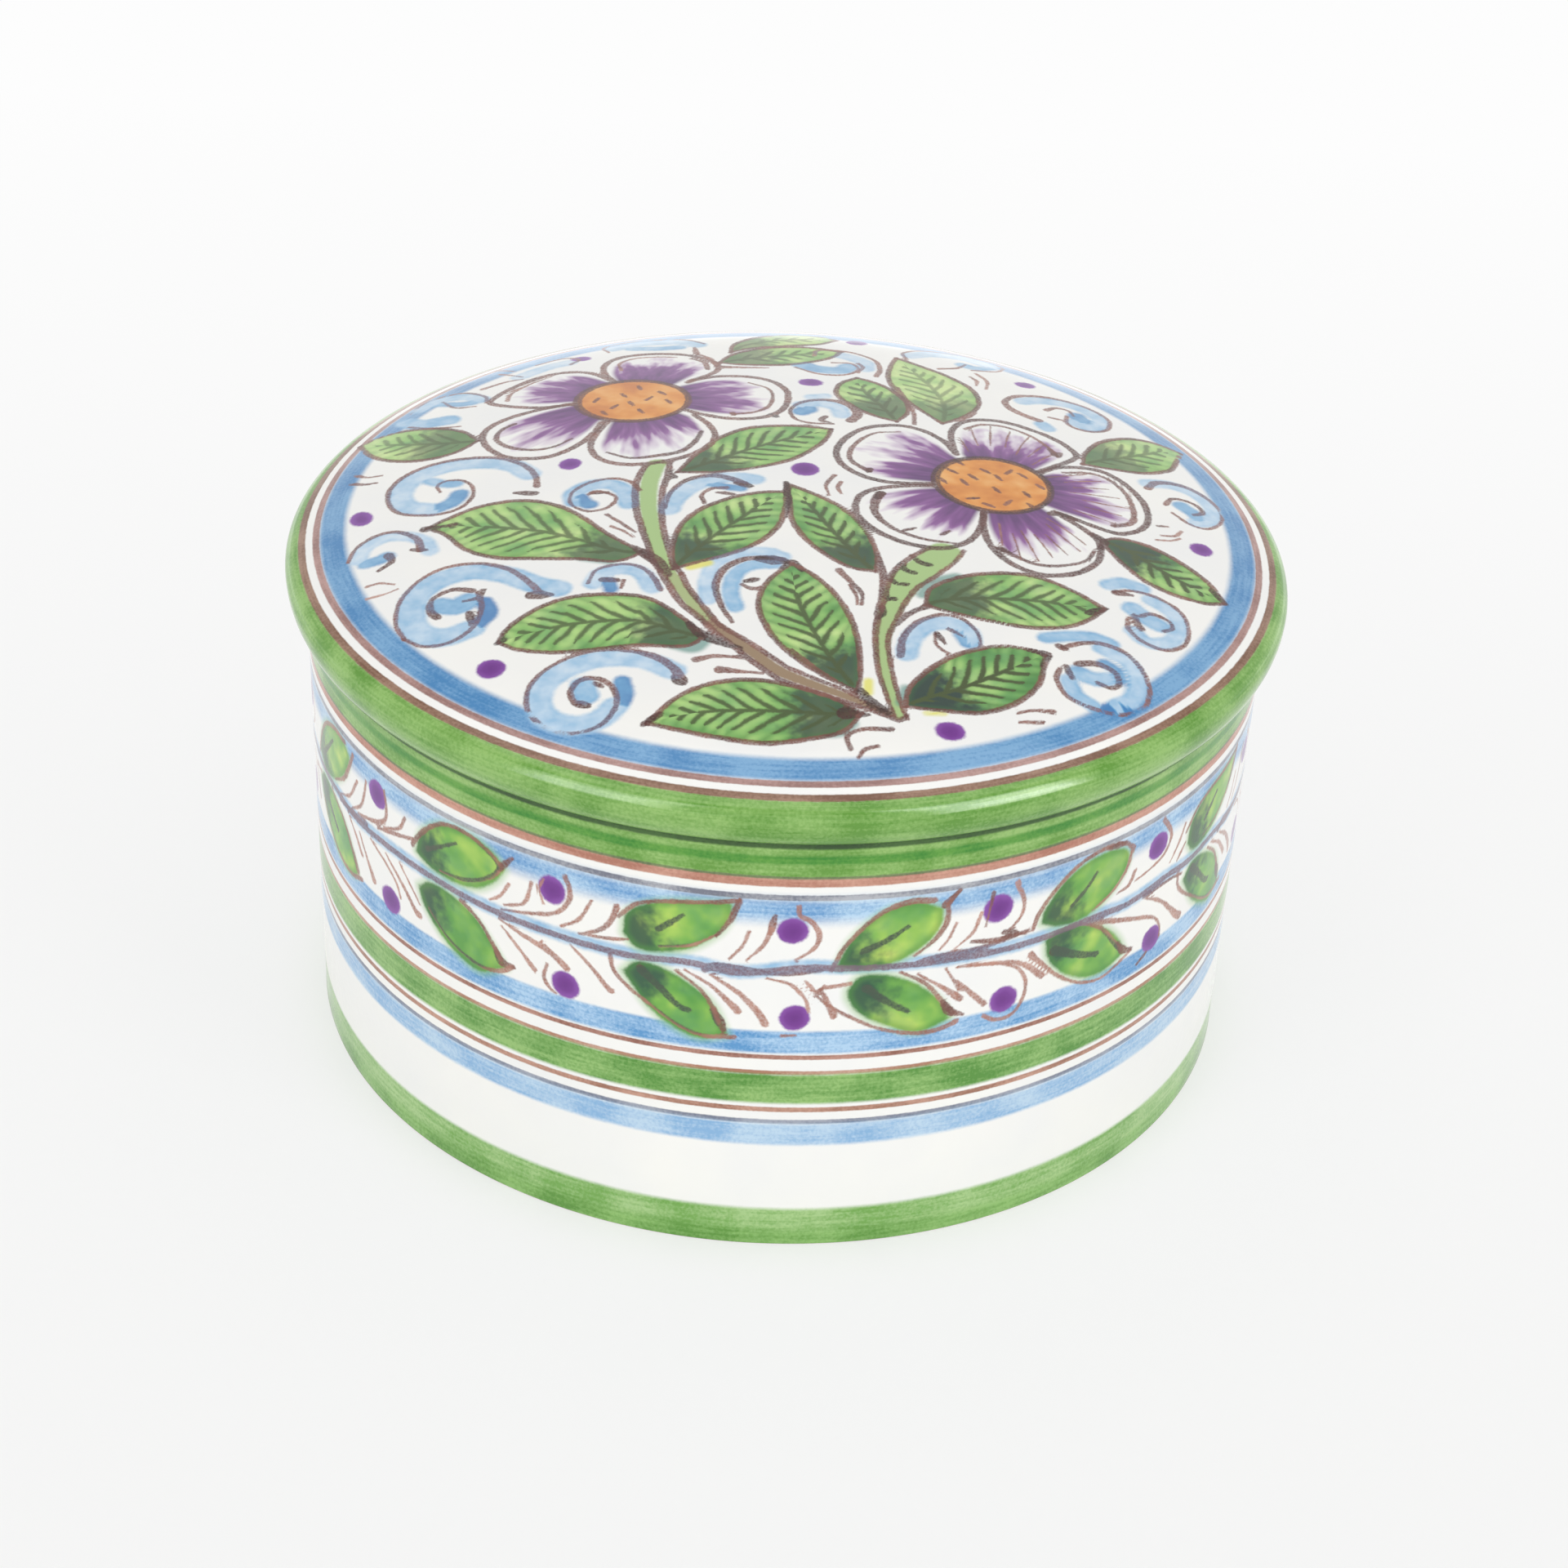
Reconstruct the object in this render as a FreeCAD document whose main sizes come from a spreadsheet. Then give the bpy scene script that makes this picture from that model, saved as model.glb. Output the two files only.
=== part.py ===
"""A round lidded box of glazed earthenware: a thrown cylinder on a turned foot ring, and a
slightly crowned lid that rests on the rim and is kept in place by a ring inside the mouth.

Millimetres, +Z up. The origin is the middle of the foot ring, on the surface that the box
stands on. Both pieces are turned about Z, so every outline is drawn in the upright plane:
its first coordinate is the radius and its second the height.
"""
import FreeCAD
import Part
import Sketcher
import math
import os

# The sizes that a potter would set, each by itself.
SIZES = {
    # the box's wall and mouth
    "wall_radius": 60.0,
    "wall_thickness": 5.0,
    "foot_taper": 0.6,
    "rim_flare": 0.5,
    "flare_height": 7.0,
    "seat_height": 59.0,
    "rim_outer_round": 0.6,
    "rim_inner_round": 1.2,
    # its floor and the turned foot ring under it
    "floor_thickness": 5.0,
    "floor_corner_radius": 8.0,
    "foot_ring_width": 7.0,
    "foot_recess_depth": 2.0,
    "foot_edge_round": 0.9,
    "recess_corner_radius": 1.5,
    # the lid above its seat
    "crown_height": 12.1,
    "crown_radius": 360.0,
    "shoulder_width": 12.5,
    "lid_overhang": 2.1,
    "widest_height": 3.5,
    "rolled_edge_radius": 2.2,
    "edge_overhang": 0.8,
    "lid_edge_round": 0.35,
    # the lid's underside and the ring that locates it in the mouth
    "lid_thickness": 6.0,
    "ring_clearance": 0.8,
    "ring_thickness": 4.0,
    "ring_depth": 5.5,
    "ring_draft": 0.5,
    "ring_edge_round": 1.2,
    "ring_root_radius": 3.0,
}

# What follows from them, so that the two pieces keep fitting when one size changes.
DERIVED = {
    "foot_radius": "=wall_radius - foot_taper",
    "rim_radius": "=wall_radius + rim_flare",
    "bore_radius": "=wall_radius - wall_thickness",
    "flare_start": "=seat_height - flare_height",
    "floor_height": "=foot_recess_depth + floor_thickness",
    "recess_radius": "=foot_radius - foot_ring_width",
    "lid_radius": "=rim_radius + lid_overhang",
    "lid_edge_radius": "=rim_radius + edge_overhang",
    "crown_top": "=seat_height + crown_height",
    "crown_end": "=lid_radius - shoulder_width",
    "lid_widest": "=seat_height + widest_height",
    "roll_middle": "=lid_radius - rolled_edge_radius",
    "ring_radius": "=bore_radius - ring_clearance",
    "ring_tip_radius": "=ring_radius - ring_draft",
    "ring_bore": "=ring_radius - ring_thickness",
    "ring_bottom": "=seat_height - ring_depth",
    "underside_top": "=crown_top - lid_thickness",
    "underside_radius": "=crown_radius - lid_thickness",
}

# An edge is the one looked for when it misses its place by less than this share of its radius.
SAME_PLACE_SHARE = 1e-5

# How the sketches number their own origin, and their axes: along the radius, then the height.
ORIGIN_POINT = (-1, 1)
SKETCH_AXES = (-1, -2)

doc = FreeCAD.newDocument("lidded_box")
sheet = doc.addObject("Spreadsheet::Sheet", "Sizes")
for row, (alias, value) in enumerate(list(SIZES.items()) + list(DERIVED.items()), start=1):
    sheet.set(f"A{row}", alias)
    sheet.set(f"B{row}", str(value))
    sheet.setAlias(f"B{row}", alias)
doc.recompute()


def size(alias):
    """A named size, in millimetres."""
    return float(sheet.get(alias))


class Outline:
    """A closed outline of lines and arcs in a body's upright plane, sized by the sheet."""

    def __init__(self, body, name):
        plane = next(f for f in body.Origin.OriginFeatures if f.Role == "XZ_Plane")
        self.sketch = body.newObject("Sketcher::SketchObject", name)
        self.sketch.AttachmentSupport = [(plane, "")]
        self.sketch.MapMode = "FlatFace"
        self.spans = []

    def constrain(self, *terms):
        return self.sketch.addConstraint(Sketcher.Constraint(*terms))

    def bind(self, alias, kind, *terms):
        """A dimension that reads the sheet's cell."""
        index = self.constrain(kind, *terms, size(alias))
        self.sketch.setExpression(f"Constraints[{index}]", f"Sizes.{alias}")

    def add(self, shape, start):
        """Adds a line or arc that the outline runs along from start."""
        index = self.sketch.addGeometry(shape, False)
        first = self.sketch.getPoint(index, 1)
        last = self.sketch.getPoint(index, 2)
        here = FreeCAD.Vector(*start, 0)
        ends = (1, 2) if first.distanceToPoint(here) < last.distanceToPoint(here) else (2, 1)
        self.spans.append((index, *ends))
        return index

    def line(self, start, end):
        return self.add(Part.LineSegment(FreeCAD.Vector(*start, 0), FreeCAD.Vector(*end, 0)), start)

    def arc(self, centre, start, end):
        """The short arc about centre from start to end, either way round."""
        turns = [math.atan2(p[1] - centre[1], p[0] - centre[0]) for p in (start, end)]
        low, high = min(turns), max(turns)
        circle = Part.Circle(FreeCAD.Vector(*centre, 0), FreeCAD.Vector(0, 0, 1), math.dist(centre, start))
        return self.add(Part.ArcOfCircle(circle, low, high), start)

    def place(self, span, r_alias, z_alias):
        """Sets the start of a span: no radius alias means on the axis, no height alias at zero."""
        index, start, _ = self.spans[span]
        along_radius, along_height = SKETCH_AXES
        if r_alias:
            self.bind(r_alias, "DistanceX", *ORIGIN_POINT, index, start)
        else:
            self.constrain("PointOnObject", index, start, along_height)
        if z_alias:
            self.bind(z_alias, "DistanceY", *ORIGIN_POINT, index, start)
        else:
            self.constrain("PointOnObject", index, start, along_radius)

    def close(self, smooth=()):
        """Joins each span to the next, and the last to the first; a smooth one runs on tangent."""
        following = self.spans[1:] + self.spans[:1]
        for number, ((index, _, end), (other, start, _)) in enumerate(zip(self.spans, following)):
            self.constrain("Tangent" if number in smooth else "Coincident", index, end, other, start)


def revolve(body, outline, name):
    """Turns an outline about the axis into the body's solid."""
    turned = body.newObject("PartDesign::Revolution", name)
    turned.Profile = outline.sketch
    turned.ReferenceAxis = (outline.sketch, ["V_Axis"])
    turned.Angle = 360.0
    outline.sketch.Visibility = False
    doc.recompute()
    return turned


def circles_at(shape, radius, height):
    """The names of the full-circle edges of this radius at this height."""
    names = []
    for number, edge in enumerate(shape.Edges, start=1):
        if edge.Degenerated or not isinstance(edge.Curve, Part.Circle):
            continue
        miss = math.hypot(edge.Curve.Radius - radius, edge.Curve.Center.z - height)
        if miss < SAME_PLACE_SHARE * radius:
            names.append(f"Edge{number}")
    return names


def round_edges(body, base, name, alias, *places):
    """Rounds the circular edges at the given radii and heights, all by one named radius."""
    edges = [edge for r_alias, z_alias in places
             for edge in circles_at(base.Shape, size(r_alias), size(z_alias) if z_alias else 0.0)]
    if len(edges) != len(places):
        raise RuntimeError(f"{name}: found {len(edges)} edges for {len(places)} places")
    rounded = body.newObject("PartDesign::Fillet", name)
    rounded.Base = (base, edges)
    rounded.Radius = size(alias)
    rounded.setExpression("Radius", f"Sizes.{alias}")
    doc.recompute()
    return rounded


def make_box_body():
    """The thrown box: floor, wall with its slight taper, flared rim and turned foot ring."""
    body = doc.addObject("PartDesign::Body", "BoxBody")
    body.Label = "box_body"
    outline = Outline(body, "BoxOutline")
    corners = [
        (None, "foot_recess_depth"),
        ("recess_radius", "foot_recess_depth"),
        ("recess_radius", None),
        ("foot_radius", None),
        ("wall_radius", "flare_start"),
        ("rim_radius", "seat_height"),
        ("bore_radius", "seat_height"),
        ("bore_radius", "floor_height"),
        (None, "floor_height"),
    ]
    points = [(size(r) if r else 0.0, size(z) if z else 0.0) for r, z in corners]
    flare_from = corners.index(("wall_radius", "flare_start"))
    for number, start in enumerate(points):
        end = points[(number + 1) % len(points)]
        if number == flare_from:
            # the flare leaves the wall upright: its centre lies outside, level with its start
            rise = end[1] - start[1]
            out = end[0] - start[0]
            reach = (rise ** 2 + out ** 2) / (2 * out)
            flare = outline.arc((start[0] + reach, start[1]), start, end)
        else:
            outline.line(start, end)
    outline.close()
    for number, (r_alias, z_alias) in enumerate(corners):
        outline.place(number, r_alias, z_alias)
    outline.bind("flare_start", "DistanceY", *ORIGIN_POINT, flare, 3)
    turned = revolve(body, outline, "BoxTurned")
    smooth = round_edges(body, turned, "FloorCorner", "floor_corner_radius", ("bore_radius", "floor_height"))
    smooth = round_edges(body, smooth, "RimOutside", "rim_outer_round", ("rim_radius", "seat_height"))
    smooth = round_edges(body, smooth, "RimInside", "rim_inner_round", ("bore_radius", "seat_height"))
    smooth = round_edges(body, smooth, "RecessCorner", "recess_corner_radius",
                         ("recess_radius", "foot_recess_depth"))
    smooth = round_edges(body, smooth, "FootEdges", "foot_edge_round",
                         ("foot_radius", None), ("recess_radius", None))
    body.Tip = smooth
    return body


def tangent_shoulder(crown_end, crown_middle, roll_middle, roll_radius):
    """The circle that carries the crown on into the rolled edge, touching both from inside."""
    away = [(e - m) for e, m in zip(crown_end, crown_middle)]
    length = math.hypot(*away)
    normal = [a / length for a in away]
    gap = [e - m for e, m in zip(crown_end, roll_middle)]
    along = gap[0] * normal[0] + gap[1] * normal[1]
    radius = (gap[0] ** 2 + gap[1] ** 2 - roll_radius ** 2) / (2 * (along - roll_radius))
    centre = [e - radius * n for e, n in zip(crown_end, normal)]
    to_roll = [m - c for m, c in zip(roll_middle, centre)]
    reach = math.hypot(*to_roll)
    touch = [m + roll_radius * t / reach for m, t in zip(roll_middle, to_roll)]
    return centre, touch


def make_lid():
    """The lid: crown, shoulder, rolled edge, flat seat, locating ring and hollow underside."""
    body = doc.addObject("PartDesign::Body", "Lid")
    body.Label = "lid"
    outline = Outline(body, "LidOutline")
    seat = size("seat_height")
    widest = (size("lid_radius"), size("lid_widest"))
    middle = (0.0, size("crown_top") - size("crown_radius"))
    top = (0.0, size("crown_top"))
    end_r = size("crown_end")
    crown_end = (end_r, middle[1] + math.sqrt(size("crown_radius") ** 2 - end_r ** 2))
    roll_middle = (size("roll_middle"), widest[1])
    shoulder_middle, touch = tangent_shoulder(crown_end, middle, roll_middle, size("rolled_edge_radius"))
    edge = (size("lid_edge_radius"), seat)
    drop = widest[1] - seat
    tuck = widest[0] - edge[0]
    tuck_reach = (drop ** 2 + tuck ** 2) / (2 * tuck)
    ring = (size("ring_radius"), seat)
    tip = (size("ring_tip_radius"), size("ring_bottom"))
    tip_inside = (size("ring_bore"), size("ring_bottom"))
    root = (size("ring_bore"), middle[1] + math.sqrt(size("underside_radius") ** 2 - size("ring_bore") ** 2))
    underside = (0.0, size("underside_top"))

    crown = outline.arc(middle, top, crown_end)
    outline.arc(shoulder_middle, crown_end, touch)
    roll = outline.arc(roll_middle, touch, widest)
    tucked = outline.arc((widest[0] - tuck_reach, widest[1]), widest, edge)
    outline.line(edge, ring)
    outline.line(ring, tip)
    outline.line(tip, tip_inside)
    outline.line(tip_inside, root)
    hollow = outline.arc(middle, root, underside)
    outline.line(underside, top)
    # the shoulder touches both its neighbours
    outline.close(smooth=(0, 1))

    places = {0: (None, "crown_top"), 3: ("lid_radius", "lid_widest"), 4: ("lid_edge_radius", "seat_height"),
              5: ("ring_radius", "seat_height"), 6: ("ring_tip_radius", "ring_bottom"),
              7: ("ring_bore", "ring_bottom"), 9: (None, "underside_top")}
    for span, (r_alias, z_alias) in places.items():
        outline.place(span, r_alias, z_alias)
    # the crown and the hollow under it share one centre on the axis
    outline.constrain("PointOnObject", crown, 3, SKETCH_AXES[1])
    outline.bind("crown_radius", "Radius", crown)
    outline.constrain("Coincident", hollow, 3, crown, 3)
    outline.bind("crown_end", "DistanceX", *ORIGIN_POINT, crown, outline.spans[0][2])
    outline.bind("ring_bore", "DistanceX", *ORIGIN_POINT, hollow, outline.spans[8][1])
    # the lid is upright where it is widest
    outline.bind("rolled_edge_radius", "Radius", roll)
    outline.bind("lid_widest", "DistanceY", *ORIGIN_POINT, roll, 3)
    outline.bind("lid_widest", "DistanceY", *ORIGIN_POINT, tucked, 3)

    turned = revolve(body, outline, "LidTurned")
    smooth = round_edges(body, turned, "LidEdge", "lid_edge_round", ("lid_edge_radius", "seat_height"))
    smooth = round_edges(body, smooth, "RingTip", "ring_edge_round",
                         ("ring_tip_radius", "ring_bottom"), ("ring_bore", "ring_bottom"))
    body.Tip = smooth
    return body, root


def round_root(body, root):
    """Rounds the corner where the locating ring meets the hollow underside."""
    base = body.Tip
    edges = circles_at(base.Shape, *root)
    rounded = body.newObject("PartDesign::Fillet", "RingRoot")
    rounded.Base = (base, edges)
    rounded.Radius = size("ring_root_radius")
    rounded.setExpression("Radius", "Sizes.ring_root_radius")
    body.Tip = rounded
    doc.recompute()


def check_and_write(bodies):
    """Stops on any failed object or broken solid, then writes one file for each piece."""
    doc.recompute()
    for item in doc.Objects:
        if "Invalid" in item.State or "Error" in item.State:
            raise RuntimeError(f"{item.Label} failed: {item.State}")
    os.makedirs("parts", exist_ok=True)
    for body in bodies:
        shape = body.Shape
        if shape.isNull() or not shape.isValid() or len(shape.Solids) != 1:
            raise RuntimeError(f"{body.Label} is not one sound solid")
        shape.exportStep(f"parts/{body.Label}.step")
        box = shape.optimalBoundingBox()
        print(f"{body.Label}: {shape.Volume / 1000:.1f} cm3, radius {box.XMax:.2f}, "
              f"height {box.ZMin:.2f} to {box.ZMax:.2f}")


box_body = make_box_body()
lid, ring_root = make_lid()
round_root(lid, ring_root)
check_and_write([box_body, lid])
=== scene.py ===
"""A round lidded box of tin-glazed earthenware, painted by hand: the looks around its CAD frame.

The lid and the box are each one thrown piece, so each is one closed mesh. The painting is laid on
as strokes, in millimetres, over the mesh's own vertices: each vertex keeps how far it lies from the
nearest stroke, leaf, petal or wash, and the glaze's nodes turn those distances into pigment.
"""
import math

import bmesh
import bpy
import numpy as np
from mathutils import Matrix, Vector


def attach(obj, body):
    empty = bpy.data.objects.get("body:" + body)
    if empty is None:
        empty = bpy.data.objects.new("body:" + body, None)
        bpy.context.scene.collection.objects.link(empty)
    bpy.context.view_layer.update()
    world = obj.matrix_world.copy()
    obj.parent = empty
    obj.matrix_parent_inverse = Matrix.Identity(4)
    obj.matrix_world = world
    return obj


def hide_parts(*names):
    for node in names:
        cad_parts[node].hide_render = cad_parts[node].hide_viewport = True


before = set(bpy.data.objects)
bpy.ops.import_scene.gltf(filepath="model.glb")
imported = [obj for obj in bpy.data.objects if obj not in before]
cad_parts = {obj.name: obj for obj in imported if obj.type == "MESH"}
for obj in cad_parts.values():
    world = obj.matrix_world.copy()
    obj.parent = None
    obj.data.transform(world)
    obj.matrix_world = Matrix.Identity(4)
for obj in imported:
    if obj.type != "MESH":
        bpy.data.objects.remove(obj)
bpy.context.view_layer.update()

MM = 0.001

# How far from its edge a painted shape is still recorded, in mm.
REACH = 3.0


def pairs(*numbers):
    """Places on the surface, from their coordinates in a row."""
    return np.array(numbers, float).reshape(-1, 2)


def drawn(points):
    """The smooth line that a brush draws through a few places, in six steps from each to the next."""
    p = np.concatenate([2 * points[:1] - points[1:2], points, 2 * points[-1:] - points[-2:-1]])
    t = np.linspace(0, 1, 6, endpoint=False)[:, None]
    spans = [0.5 * (2 * b + (c - a) * t + (2 * a - 5 * b + 4 * c - d) * t ** 2
                    + (3 * b - a - 3 * c + d) * t ** 3)
             for a, b, c, d in zip(p, p[1:], p[2:], p[3:])]
    return np.concatenate(spans + [points[-1:]])


def runs(line):
    """How far along a line each of its places lies."""
    return np.concatenate([[0], np.cumsum(np.hypot(*np.diff(line, axis=0).T))])


def along(at, line, half_widths):
    """For each place: its distance outside the stroke, how far along and aside, the half width there."""
    start, step = line[:-1], np.diff(line, axis=0)
    length = np.maximum(np.hypot(*step.T), 1e-9)
    run = np.concatenate([[0], np.cumsum(length)])
    rel = at[:, None] - start[None]
    share = np.clip((rel * step).sum(-1) / length ** 2, 0, 1)
    off = rel - share[..., None] * step
    wide = half_widths[:-1] * (1 - share) + half_widths[1:] * share
    gap = np.hypot(off[..., 0], off[..., 1]) - wide
    pick = gap.argmin(1)
    row = np.arange(len(at))
    turned = step[pick, 0] * rel[row, pick, 1] - step[pick, 1] * rel[row, pick, 0]
    far = run[pick] + share[row, pick] * length[pick]
    return gap[row, pick], far, turned / length[pick], wide[row, pick]


def outside(at, outline):
    """The distance of each place outside a closed outline; negative inside."""
    a, b = outline[:-1], outline[1:]
    gap = along(at, outline, np.zeros(len(outline)))[0]
    x, y = at[:, 0, None], at[:, 1, None]
    rises = (a[:, 1] > y) != (b[:, 1] > y)
    drop = np.where(b[:, 1] == a[:, 1], 1, b[:, 1] - a[:, 1])
    crossed = rises & (x < a[:, 0] + (y - a[:, 1]) * (b[:, 0] - a[:, 0]) / drop)
    return np.where(crossed.sum(1) % 2 == 1, -gap, gap)


class Painting:
    """What is painted on one surface, known at each of its vertices."""

    LINES = ("line_even", "line_odd")
    # what each layer keeps, and its three values where nothing is painted near:
    # a line: distance, side, half width; the lines' tones; a wash: distance, tone
    # stem: distance, tone, and the distance from a flower's middle
    # leaf: how far from its base, how far aside, distance; its look: length, tone
    # petal: share of its length, angle aside, distance; spot: distance of berry, yellow, blue green
    LAYERS = {"line_even": (REACH, 0, 0), "line_odd": (REACH, 0, 0), "line_tone": (0, 0, 0),
              "wash": (REACH, 0, 0), "stem": (REACH, 0, REACH),
              "leaf": (0, 0, REACH), "leaf_look": (10, 0, 0), "petal": (0, 0, REACH),
              "spot": (REACH, REACH, REACH)}

    def __init__(self, at, girth=None):
        self.at = at
        self.girth = girth
        self.lines = 0
        self.layers = {name: np.tile(np.array(far, float), (len(at), 1))
                       for name, far in self.LAYERS.items()}

    def near(self, line, more=1.5):
        """The vertices within reach of a brush that wide, and their places; a wall closes on itself."""
        low, high = line.min(0) - REACH - more, line.max(0) + REACH + more
        for turn in (0, -self.girth, self.girth) if self.girth else (0,):
            at = self.at + (turn, 0)
            index = np.nonzero(((at > low) & (at < high)).all(1))[0]
            if len(index):
                yield index, at[index]

    def stroke(self, layer, points, width, tone):
        """One stroke of the brush; its width, in mm, may be set at its start, middle and end."""
        line = drawn(points)
        run = runs(line)
        widths = width if np.ndim(width) else (width, width)
        wide = np.interp(run / run[-1], np.linspace(0, 1, len(widths)), widths) / 2
        if layer == "line":
            # every other line is kept apart, so that neighbours never run together
            layer = self.LINES[self.lines % 2]
            self.lines += 1
        field = self.layers[layer]
        for index, at in self.near(line):
            gap, _, side, half = along(at, line, wide)
            nearer = gap < field[index, 0]
            field[index[nearer], 0] = gap[nearer]
            if layer in self.LINES:
                field[index[nearer], 1:] = np.stack([side, half], 1)[nearer]
                self.layers["line_tone"][index[nearer], self.LINES.index(layer)] = tone
            else:
                field[index[nearer], 1] = tone

    def dab(self, layer, column, place, width, height, lean=0.0):
        """A round or oval dab of the loaded brush, its lean in degrees."""
        field = self.layers[layer]
        turn = math.radians(lean)
        for index, at in self.near(np.array([place]), max(width, height) / 2):
            x, y = (at - place).T
            u, v = x * math.cos(turn) + y * math.sin(turn), y * math.cos(turn) - x * math.sin(turn)
            r = np.hypot(u / width, v / height) * 2
            gap = (r - 1) * min(width, height) / 2
            field[index, column] = np.minimum(field[index, column], gap)

    def leaf(self, base, left, tip, right, tone):
        """A leaf between its two edges, both given from the base to the tip."""
        base, tip = np.array([base], float), np.array([tip], float)
        edges = [drawn(np.concatenate([base, side, tip])) for side in (left, right)]
        outline = np.concatenate([edges[0], edges[1][::-1]])
        shares = np.linspace(0, 1, 12)
        sides = []
        for edge in edges:
            run = runs(edge)
            sides.append(np.stack([np.interp(shares, run / run[-1], edge[:, k]) for k in (0, 1)], 1))
        rib = (sides[0] + sides[1]) / 2
        shape, look = self.layers["leaf"], self.layers["leaf_look"]
        for index, at in self.near(outline):
            gap = outside(at, outline)
            _, run, side, _ = along(at, rib, np.zeros(len(rib)))
            nearer = gap < shape[index, 2]
            shape[index[nearer]] = np.stack([run, side, gap], 1)[nearer]
            look[index[nearer], :2] = runs(rib)[-1], tone

    def petal(self, middle, points, lean):
        """A petal, drawn from one side of its flower's middle round to the other."""
        middle = np.array(middle, float)
        outline = drawn(points)
        outline = np.concatenate([outline, [middle], outline[:1]])
        foot = (points[0] + points[-1]) / 2
        reach = np.hypot(*(points - middle).T).max()
        base = np.hypot(*(foot - middle))
        axis = (points[len(points) // 2] + points[(len(points) - 1) // 2]) / 2 - middle
        axis /= np.hypot(*axis)
        field = self.layers["petal"]
        for index, at in self.near(outline):
            gap = outside(at, outline)
            rel = at - middle
            share = (np.hypot(*rel.T) - base) / (reach - base)
            slant = np.arctan2(axis[0] * rel[:, 1] - axis[1] * rel[:, 0], rel @ axis)
            nearer = gap < field[index, 2]
            share *= np.clip(1 + lean * slant, 0.65, 1.6)
            field[index[nearer]] = np.stack([share, slant, gap], 1)[nearer]

    def put_on(self, mesh, vertices):
        """Keeps the layers as attributes; every vertex that isn't painted lies far from all."""
        for name, far in self.LAYERS.items():
            values = np.tile(np.array(far, np.float32), (len(mesh.vertices), 1))
            values[vertices] = self.layers[name]
            mesh.attributes.new(name, "FLOAT_VECTOR", "POINT").data.foreach_set("vector", values.ravel())


# The lid's painting: x to the right and y to the back, seen from above. Tones run from 0, thin
# colour, to 1, a full brush.

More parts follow.
